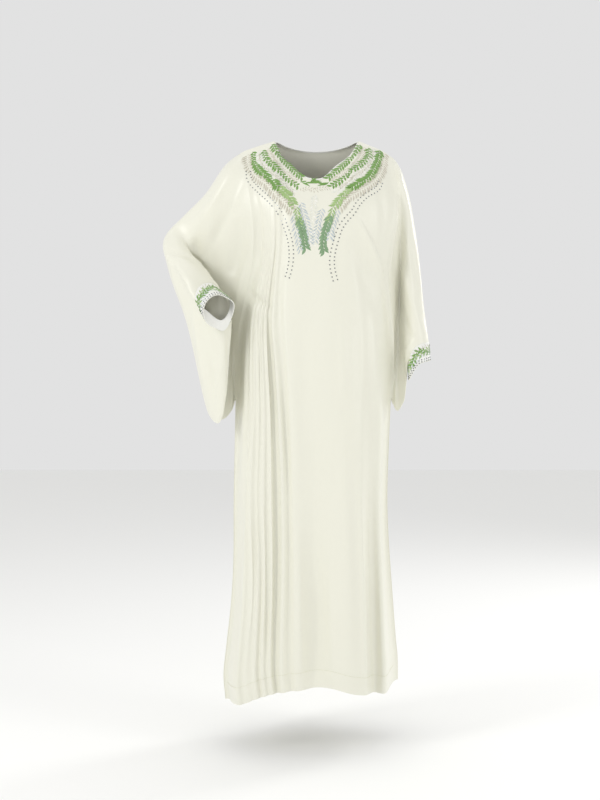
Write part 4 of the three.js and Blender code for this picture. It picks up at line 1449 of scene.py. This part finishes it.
@dataclass(frozen=True)
class Spray:
    """A row of embroidered leaves on both sides of a charted line.

    Attributes:
        thread: The thread.
        leaf: The leaf's width.
        line: The line's points, x and z as the camera sees them in the plane y = 0, in
            millimetres; empty on a cuff, where the line is worked out.
        spacing: The distance between leaves on one side, in millimetres.
        length: A leaf's length, in millimetres.
        lean: The angle between a leaf and the line, in degrees.
        sides: 1 for the line's left side and -1 for its right, as it runs.
        stem: Whether a line of stem stitches runs along it.
    """

    thread: Thread
    leaf: Leaf
    line: tuple[tuple[float, float], ...]
    spacing: float
    length: float
    lean: float
    sides: tuple[int, ...] = (1, -1)
    stem: bool = False

    def lay(self, points: np.ndarray, normals: np.ndarray, chance: np.random.Generator) -> Laid:
        """Places the leaves along the line on the cloth.

        Args:
            points: The line's points on the cloth.
            normals: The cloth's normals there.
            chance: The random numbers that keep the leaves uneven.

        Returns:
            The places of the leaves.
        """
        count = max(2, round(line_length(points) / self.spacing))
        laid = []
        for side in self.sides:
            shares = (np.arange(count) + LEAF_STARTS[side]) / count
            at, normal, way = line_frames(points, normals, shares)
            across = np.cross(normal, way) * side
            spread = chance.uniform(-LEAN_SPREAD, LEAN_SPREAD, count)
            lean = np.radians(self.lean + spread)[:, None]
            ways = np.cos(lean) * way + np.sin(lean) * across
            laid.append(Laid(at + normal * LEAF_LIFT, ways, normal, np.full(count, self.length)))
        return together(laid)


def line_frames(points: np.ndarray, normals: np.ndarray,
                shares: np.ndarray) -> tuple[np.ndarray, np.ndarray, np.ndarray]:
    """Finds points, normals and directions at shares of a line on the cloth.

    Args:
        points: The line's points.
        normals: The cloth's normals there.
        shares: Shares of its length.

    Returns:
        The points, the normals and the unit directions.
    """
    both = np.hstack([points, unit(normals) * NORMAL_WEIGHT])
    found = along(both, shares)
    normal = unit(found[:, 3:])
    ahead = along(points, np.minimum(shares + FRAME_REACH, 1))
    behind = along(points, np.maximum(shares - FRAME_REACH, 0))
    way = ahead - behind
    way = unit(way - normal * (way * normal).sum(-1, keepdims=True))
    return found[:, :3], normal, way


def run_of(points: np.ndarray, normals: np.ndarray, spacing: float, size: float,
           aside: float = 0.0, lift: float = 0.1) -> Laid:
    """Places shapes one after another along a line on the cloth.

    Args:
        points: The line's points.
        normals: The cloth's normals there.
        spacing: The distance between them, in millimetres.
        size: Their size, in millimetres.
        aside: How far beside the line they lie, in millimetres.
        lift: How far above the cloth they lie, in millimetres.

    Returns:
        The places.
    """
    count = max(2, round(line_length(points) / spacing))
    at, normal, way = line_frames(points, normals, (np.arange(count) + 0.5) / count)
    at = at + np.cross(normal, way) * aside + normal * lift
    return Laid(at, way, normal, np.full(count, size))


# The sprays round the neck, from the shoulders to the middle of the chest
NECK_SPRAYS = (
    Spray(Thread.LEAF_GREEN, Leaf.BROAD, ((-111, -8), (-95, -35), (-71, -60), (-48, -82),
                                          (-36, -91)), 8.5, 14, 48, stem=True),
    Spray(Thread.LEAF_GREEN, Leaf.BROAD, ((108, -9), (90, -37), (66, -59), (40, -82),
                                          (28, -92)), 8.5, 14, 48, stem=True),
    Spray(Thread.TAUPE, Leaf.SLENDER, ((-122, -19), (-111, -43), (-89, -65), (-66, -84),
                                       (-50, -98)), 6, 12, 50),
    Spray(Thread.TAUPE, Leaf.SLENDER, ((118, -15), (108, -40), (86, -62), (61, -81),
                                       (42, -98)), 6, 12, 50),
    Spray(Thread.LEAF_GREEN, Leaf.BROAD, ((-133, -22), (-126, -44), (-102, -65), (-84, -83),
                                          (-66, -98), (-46, -112)), 9, 15, 52, stem=True),
    Spray(Thread.LEAF_GREEN, Leaf.BROAD, ((128, -16), (126, -40), (104, -61), (80, -78),
                                          (62, -95), (36, -112)), 9, 15, 52, stem=True),
    Spray(Thread.WHITE, Leaf.SLENDER, ((-143, -24), (-139, -50), (-118, -74), (-94, -93),
                                       (-76, -112), (-56, -128)), 5, 14, 52),
    Spray(Thread.WHITE, Leaf.SLENDER, ((140, -18), (137, -46), (120, -68), (96, -86),
                                       (74, -104), (48, -126)), 5, 14, 52),
    Spray(Thread.TAUPE, Leaf.SLENDER, ((-140, -26), (-134, -54), (-110, -78), (-88, -98),
                                       (-60, -122)), 7.5, 12, 30),
    Spray(Thread.TAUPE, Leaf.SLENDER, ((136, -20), (132, -50), (112, -73), (88, -92),
                                       (56, -116)), 7.5, 12, 30),
    Spray(Thread.LEAF_GREEN, Leaf.BROAD, ((-158, -26), (-155, -52), (-139, -76), (-113, -95),
                                          (-94, -117)), 8, 18, 44, stem=True),
    Spray(Thread.PALE_GREEN, Leaf.BROAD, ((-96, -114), (-80, -127), (-66, -140),
                                          (-57, -156)), 8, 18, 44, stem=True),
    Spray(Thread.LEAF_GREEN, Leaf.BROAD, ((154, -20), (152, -44), (142, -68), (130, -88),
                                          (104, -104), (84, -116)), 8, 18, 44, stem=True),
    Spray(Thread.PALE_GREEN, Leaf.BROAD, ((86, -114), (72, -126), (58, -140), (46, -158)),
          8, 18, 44, stem=True),
    Spray(Thread.TAUPE, Leaf.SLENDER, ((-171, -33), (-168, -62), (-150, -88), (-124, -108),
                                       (-102, -132), (-78, -154), (-60, -172)), 7.5, 17, 55),
    Spray(Thread.TAUPE, Leaf.SLENDER, ((168, -30), (166, -58), (155, -84), (136, -104),
                                       (106, -124), (78, -142), (56, -166)), 7.5, 17, 55),
    Spray(Thread.PALE_GREEN, Leaf.SLENDER, ((-50, -160), (-47, -185), (-42, -205)), 8, 17, 34),
    Spray(Thread.GREY_GREEN, Leaf.BROAD, ((-45, -186), (-38, -214), (-32, -240), (-28, -264)),
          8, 18, 38, stem=True),
    Spray(Thread.GREY_BLUE, Leaf.SLENDER, ((-40, -150), (-33, -177), (-25, -200), (-19, -226),
                                           (-17, -252)), 8, 16, 42),
    Spray(Thread.GREY_BLUE, Leaf.SLENDER, ((-58, -176), (-53, -210), (-47, -240), (-40, -270)),
          9, 15, 40),
    Spray(Thread.PALE_GREEN, Leaf.SLENDER, ((42, -158), (36, -180), (30, -198)), 8, 17, 34),
    Spray(Thread.GREY_GREEN, Leaf.BROAD, ((33, -180), (26, -206), (19, -230), (16, -256),
                                          (19, -272)), 8, 18, 38, stem=True),
    Spray(Thread.GREY_BLUE, Leaf.SLENDER, ((53, -168), (44, -193), (36, -217), (31, -240)),
          8, 16, 42),
    Spray(Thread.GREY_BLUE, Leaf.SLENDER, ((14, -164), (7, -187), (1, -217), (-4, -248)),
          8, 15, 42),
    Spray(Thread.LEAF_GREEN, Leaf.SLENDER, ((-44, -101), (-26, -104), (-8, -100)), 13, 21, 13),
    Spray(Thread.LEAF_GREEN, Leaf.SLENDER, ((34, -101), (18, -104), (0, -100)), 13, 21, 13),
    Spray(Thread.TAUPE, Leaf.SLENDER, ((-40, -124), (-22, -117), (-4, -122), (10, -118),
                                       (32, -116)), 6, 9, 62),
    Spray(Thread.WHITE, Leaf.SLENDER, ((-6, -130), (-8, -170), (-9, -215), (-10, -255)),
          7, 14, 42),
)

# The double rows of stones below the neck, charted as the sprays are
STONE_LINES = (
    ((-169, -72), (-166, -95), (-155, -110), (-138, -126), (-118, -144), (-100, -164),
     (-86, -186), (-76, -213), (-68, -236), (-63, -265), (-63, -293), (-68, -322), (-74, -340)),
    ((159, -99), (150, -117), (123, -134), (103, -154), (91, -174), (71, -196), (58, -216),
     (48, -246), (41, -273), (38, -298), (41, -322), (48, -348)),
)

# The sprays round a cuff: thread, leaf, place along the cuff, sway, turn of the sway, spacing,
# leaf length and lean
CUFF_SPRAYS = (
    (Thread.LEAF_GREEN, Leaf.BROAD, 0.44, 0.12, 0.0, 9, 11, 42),
    (Thread.PALE_GREEN, Leaf.BROAD, 0.46, 0.12, 3.1, 11, 10, 42),
    (Thread.TAUPE, Leaf.SLENDER, 0.26, 0.05, 1.6, 9, 8, 50),
    (Thread.GREY_BLUE, Leaf.SLENDER, 0.60, 0.05, 1.6, 9, 9, 46),
)
CUFF_WAVES = 4
CUFF_STONE_PLACES = (0.83, 0.94)
CUFF_STITCH_PLACES = (0.03, 0.98)


@dataclass
class Trimmings:
    """Everything that is sewn or set on the cloth: leaves, stems, stones and stitches.

    Attributes:
        scatter: The tree that sets the shapes.
        finishes: The built materials of the threads.
        glass: The stones' material.
        leaves: The leaf shapes.
        stitch: The stitch shape.
        stone: The stone shape.
        seed: The seed of the uneven leans and sizes.
    """

    scatter: Scatter
    finishes: dict[Thread, bpy.types.Material]
    glass: bpy.types.Material
    leaves: dict[Leaf, bpy.types.Object]
    stitch: bpy.types.Object
    stone: bpy.types.Object
    seed: int = 11

    def place(self, name: str, sets: Sequence[Laid], shape: bpy.types.Object,
              material: bpy.types.Material, variation: float,
              smooth: bool = True) -> list[bpy.types.Object]:
        """Sets a shape on every place of several sets, as one piece.

        Args:
            name: The new piece's name.
            sets: The sets of places.
            shape: The shape.
            material: The finish.
            variation: How much the sizes vary, as a share.
            smooth: Whether the piece is shaded smooth.

        Returns:
            The new piece, or nothing where there are no sets.
        """
        if not sets:
            return []
        piece = self.scatter.build(name, together(sets), shape, material, variation, self.seed,
                                   smooth)
        show(piece, material)
        return [piece]

    def sew(self, name: str, lines: Sequence[tuple[Spray, np.ndarray, np.ndarray]],
            stone_runs: Sequence[Laid], stitch_runs: Sequence[Laid]) -> list[bpy.types.Object]:
        """Makes the pieces on one part of the garment, one piece for each thread.

        Args:
            name: The part's name, which the pieces' names start with.
            lines: The sprays, each with its points and normals on the cloth.
            stone_runs: The places of the stones.
            stitch_runs: The places of the sewing stitches.

        Returns:
            The new pieces.
        """
        chance = np.random.default_rng(self.seed)
        made = []
        for thread in Thread:
            finish, colour = self.finishes[thread], thread.name.lower()
            for leaf in Leaf:
                laid = [spray.lay(points, normals, chance) for spray, points, normals in lines
                        if spray.thread is thread and spray.leaf is leaf]
                made += self.place(f"{name}_{leaf.name.lower()}_leaves_{colour}", laid,
                                   self.leaves[leaf], finish, LEAF_VARIATION)
            stems = [run_of(points, normals, STEM_SPACING, STEM_LENGTH)
                     for spray, points, normals in lines if spray.stem and spray.thread is thread]
            made += self.place(f"{name}_stems_{colour}", stems, self.stitch, finish,
                               STEM_VARIATION)
        made += self.place(f"{name}_stones", stone_runs, self.stone, self.glass,
                           STONE_VARIATION, smooth=False)
        made += self.place(f"{name}_stitches", stitch_runs, self.stitch,
                           self.finishes[Thread.SEWING], STITCH_VARIATION)
        return made

    def finish(self) -> None:
        """Removes the shapes that were set."""
        for shape in (*self.leaves.values(), self.stitch, self.stone):
            bpy.data.objects.remove(shape)


def seen_line(cloth: BVHTree, eye: np.ndarray,
              line: Sequence[Sequence[float]]) -> tuple[np.ndarray, np.ndarray]:
    """Carries a charted line onto the cloth, along the camera's rays.

    Args:
        cloth: The cloth's outer faces, in millimetres.
        eye: The camera's place, in millimetres.
        line: Points x and z in the plane y = 0.

    Returns:
        The points on the cloth and the outward normals there.
    """
    flat = curve_points(line, CHART_SAMPLES)
    count = max(CHART_POINTS, round(line_length(flat) / CHART_STEP))
    flat = along(flat, np.linspace(0, 1, count))
    points, normals = [], []
    for x, z in flat:
        ray = Vector((x, 0, z)) - Vector(eye)
        hit, normal, _, _ = cloth.ray_cast(Vector(eye), ray.normalized())
        if hit is not None:
            points.append(tuple(hit))
            normals.append(tuple(normal if normal.y < 0 else -normal))
    normals = np.array(normals)
    for _ in range(CHART_PASSES):
        ends = np.vstack([normals[:1], normals, normals[-1:]])
        normals = unit(ends[:-2] + 2 * normals + ends[2:])
    return np.array(points), normals


def cloth_tree(grids: Sequence[np.ndarray]) -> BVHTree:
    """Builds a search tree over the outer faces of cloth.

    Args:
        grids: Grids of outer points.

    Returns:
        The tree.
    """
    points, faces, shift = [], [], 0
    for grid in grids:
        rows, count = grid.shape[:2]
        index = np.arange(rows * count).reshape(rows, count) + shift
        faces += quads(index).tolist()
        points += grid.reshape(-1, 3).tolist()
        shift += rows * count
    return BVHTree.FromPolygons(points, faces)


def hem_line(panel: BodyPanel) -> tuple[np.ndarray, np.ndarray]:
    """Finds the line of the hem's stitches, one hem's depth above the edge.

    Args:
        panel: The panel, already shaped.

    Returns:
        The line's points and the cloth's normals there.
    """
    points, normals = [], []
    for column in range(HEM_MARGIN, panel.outer.shape[1] - HEM_MARGIN):
        down = panel.outer[::-1, column]
        row = np.interp(down[0, 2] + HEM_DEPTH, down[:HEM_ROWS, 2], np.arange(HEM_ROWS))
        low, share = int(row), row - int(row)
        points.append(mix(down[low], down[low + 1], share))
        normals.append(panel.normals[::-1, column][low])
    return np.array(points), np.array(normals)


def cuff_line(sleeve: Sleeve, places: np.ndarray) -> tuple[np.ndarray, np.ndarray]:
    """Finds a line round a cuff.

    Args:
        sleeve: The sleeve, already shaped.
        places: The place along the cuff at each of its columns, from 0 to 1.

    Returns:
        The line's points and the cloth's normals there.
    """
    band = sleeve.outer[SLEEVE_STEPS:] + sleeve.normals[SLEEVE_STEPS:] * CUFF_LIFT
    row = np.clip(places * CUFF_STEPS, 0, CUFF_STEPS - 1e-6)
    low = row.astype(int)
    column = np.arange(len(places)) % band.shape[1]
    share = (row - low)[:, None]
    points = mix(band[low, column], band[low + 1, column], share)
    normals = sleeve.normals[SLEEVE_STEPS:]
    return points, unit(mix(normals[low, column], normals[low + 1, column], share))


def cuff_trims(sleeve: Sleeve) -> tuple[list, list[Laid], list[Laid]]:
    """Works out what is sewn on a cuff.

    Args:
        sleeve: The sleeve, already shaped.

    Returns:
        The sprays with their lines, the stones' places and the stitches' places.
    """
    columns = np.arange(sleeve.outer.shape[1] + 1)
    around = 2 * math.pi * columns / sleeve.outer.shape[1]
    lines = []
    for thread, leaf, place, sway, turn, spacing, length, lean in CUFF_SPRAYS:
        spray = Spray(thread, leaf, (), spacing, length, lean, stem=leaf is Leaf.BROAD)
        wave = place + sway * np.sin(CUFF_WAVES * around + turn)
        lines.append((spray, *cuff_line(sleeve, wave)))
    level = np.ones(len(columns))
    stones = [run_of(*cuff_line(sleeve, level * place), CUFF_STONE_SPACING, STONE_RADIUS)
              for place in CUFF_STONE_PLACES]
    stitches = [run_of(*cuff_line(sleeve, level * place), STITCH_SPACING, STITCH_LENGTH)
                for place in CUFF_STITCH_PLACES]
    return lines, stones, stitches


@dataclass(frozen=True)
class Light:
    """A large soft light.

    Attributes:
        name: Its name.
        place: Where it stands, in metres.
        size: Its width and height, in metres.
        power: Its power, in watts.
        colour: sRGB hex colour of its light.
    """

    name: str
    place: tuple[float, float, float]
    size: tuple[float, float]
    power: float
    colour: str = "#FFFFFF"


@dataclass
class Studio:
    """The pale floor, soft lights and camera.

    Attributes:
        floor_height: Height of the floor, in metres.
        eye: The camera's place, in metres.
        target: The point that it looks at.
        lens: Its focal length, in millimetres.
        sensor: The width of its sensor, in millimetres.
        reach: Half the floor's width, in metres.
        glow: The strength of the white world around.
        lights: The soft lights.
    """

    floor_height: float = -1.495
    eye: tuple[float, float, float] = (-0.041, -3.7, -0.50)
    target: tuple[float, float, float] = (-0.041, 0.0, -0.64)
    lens: float = 67.1
    sensor: float = 36
    reach: float = 8.0
    glow: float = 0.76
    lights: tuple[Light, ...] = (
        Light("key", (-2.5, -1.9, 0.6), (0.9, 1.4), 30),
        Light("fill", (2.6, -1.7, 0.3), (1.0, 2.0), 17),
        Light("top", (0.2, 0.8, 2.2), (2.0, 2.0), 6),
        Light("behind", (2.4, 2.0, 0.6), (0.9, 1.6), 26),
    )

    def stand(self, name: str, data: bpy.types.ID, place: Sequence[float]) -> bpy.types.Object:
        """Stands a light or a camera at a place and turns it towards the target.

        Args:
            name: Its name.
            data: The light or the camera.
            place: Where it stands, in metres.

        Returns:
            The new object.
        """
        thing = bpy.data.objects.new(name, data)
        thing.location = place
        way = Vector(self.target) - Vector(place)
        thing.rotation_euler = way.to_track_quat("-Z", "Y").to_euler()
        bpy.context.scene.collection.objects.link(thing)
        return thing

    def build(self) -> None:
        """Sets up the floor, the lights, the world and the camera."""
        mesh = bpy.data.meshes.new("pale_floor")
        corners = ((-1, -1), (1, -1), (1, 1), (-1, 1))
        mesh.from_pydata([(x * self.reach, y * self.reach, self.floor_height)
                          for x, y in corners], [], [(0, 1, 2, 3)])
        floor = bpy.data.objects.new("pale_floor", mesh)
        bpy.context.scene.collection.objects.link(floor)
        paint, _ = start_material("matt studio floor, painted", Base_Color=linear("#FAFAF8"),
                                  Roughness=0.9)
        mesh.materials.append(paint)
        for light in self.lights:
            data = bpy.data.lights.new(light.name, "AREA")
            data.shape = "RECTANGLE"
            data.size, data.size_y = light.size
            data.energy = light.power
            data.color = linear(light.colour)[:3]
            self.stand(light.name, data, light.place)
        world = bpy.data.worlds.new("soft studio")
        world.use_nodes = True
        backdrop = world.node_tree.nodes["Background"]
        backdrop.inputs["Color"].default_value = linear("#FFFFFF")
        backdrop.inputs["Strength"].default_value = self.glow
        bpy.context.scene.world = world
        bpy.context.scene.view_settings.view_transform = "Standard"
        data = bpy.data.cameras.new("photo view")
        data.sensor_fit = "AUTO"
        data.sensor_width = self.sensor
        data.lens = self.lens
        bpy.context.scene.camera = self.stand("photo view", data, self.eye)


def main() -> None:
    """Builds the boubou's looks and the studio."""
    logging.basicConfig(level=logging.INFO, format="%(name)s: %(message)s")
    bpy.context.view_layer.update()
    satin, white = IVORY_SATIN.build(), WHITE_SATIN.build()
    front = BodyPanel("front_panel", -1, FRONT_NECK, FRONT_HEM, FRONT_FOLDS,
                      RIGHT_ARMHOLE_FRONT, LEFT_ARMHOLE_FRONT, 1, FRONT_CREASES)
    back = BodyPanel("back_panel", 1, BACK_NECK, BACK_HEM, BACK_FOLDS,
                     RIGHT_ARMHOLE_BACK, LEFT_ARMHOLE_BACK, 2, BACK_CREASES)
    panels = []
    for panel in (front, back):
        panel.shape()
        panels.append(panel.build())
        show(panels[-1], satin, "ivory_satin", panel.name)
    sleeves = (
        Sleeve("right_sleeve", "right_cuff", True, RIGHT_SLEEVE_RINGS, RIGHT_CUFF_END,
               RIGHT_SLEEVE_CREASES, cut=(0.42, 1.30), area=0.32, cuff_cut=(0.05, 0.23)),
        Sleeve("left_sleeve", "left_cuff", False, LEFT_SLEEVE_RINGS, LEFT_CUFF_END,
               LEFT_SLEEVE_CREASES, cut=(0.30, 1.24), area=0.15, cuff_cut=(0.05, 0.21)),
    )
    trimmings = Trimmings(
        Scatter(), {thread: thread.value.build() for thread in Thread}, RHINESTONE.build(),
        {leaf: leaf_shape(f"leaf_{leaf.name.lower()}", leaf.value) for leaf in Leaf},
        stitch_shape("stitch"), stone_shape("stone"))
    for sleeve in sleeves:
        sleeve.shape(front, back)
        cloth, cuff = sleeve.build()
        show(cloth, satin, "ivory_satin", sleeve.name)
        show(cuff, white, "white_cuff", sleeve.cuff_name)
        sewn = trimmings.sew(sleeve.cuff_name, *cuff_trims(sleeve))
    binding = Binding().build(front, back)
    show(binding, white, "white_binding", "neck_binding")
    studio = Studio()
    eye = np.array(studio.eye) / MM
    tree = cloth_tree([front.outer, *(sleeve.outer for sleeve in sleeves)])
    sprays = [(spray, *seen_line(tree, eye, spray.line)) for spray in NECK_SPRAYS]
    stones = [run_of(*seen_line(tree, eye, line), STONE_SPACING, STONE_RADIUS,
                     aside * STONE_LINES_APART / 2)
              for line in STONE_LINES for aside in (-1, 1)]
    hems = [run_of(*hem_line(panel), STITCH_SPACING, STITCH_LENGTH) for panel in (front, back)]
    on_front = [binding, *trimmings.sew("neck", sprays, stones, []),
                *trimmings.sew("front_hem", [], [], hems[:1])]
    on_back = trimmings.sew("back_hem", [], [], hems[1:])
    trimmings.finish()
    studio.build()
    LOG.info("sizes written")


if __name__ == "__main__":
    main()
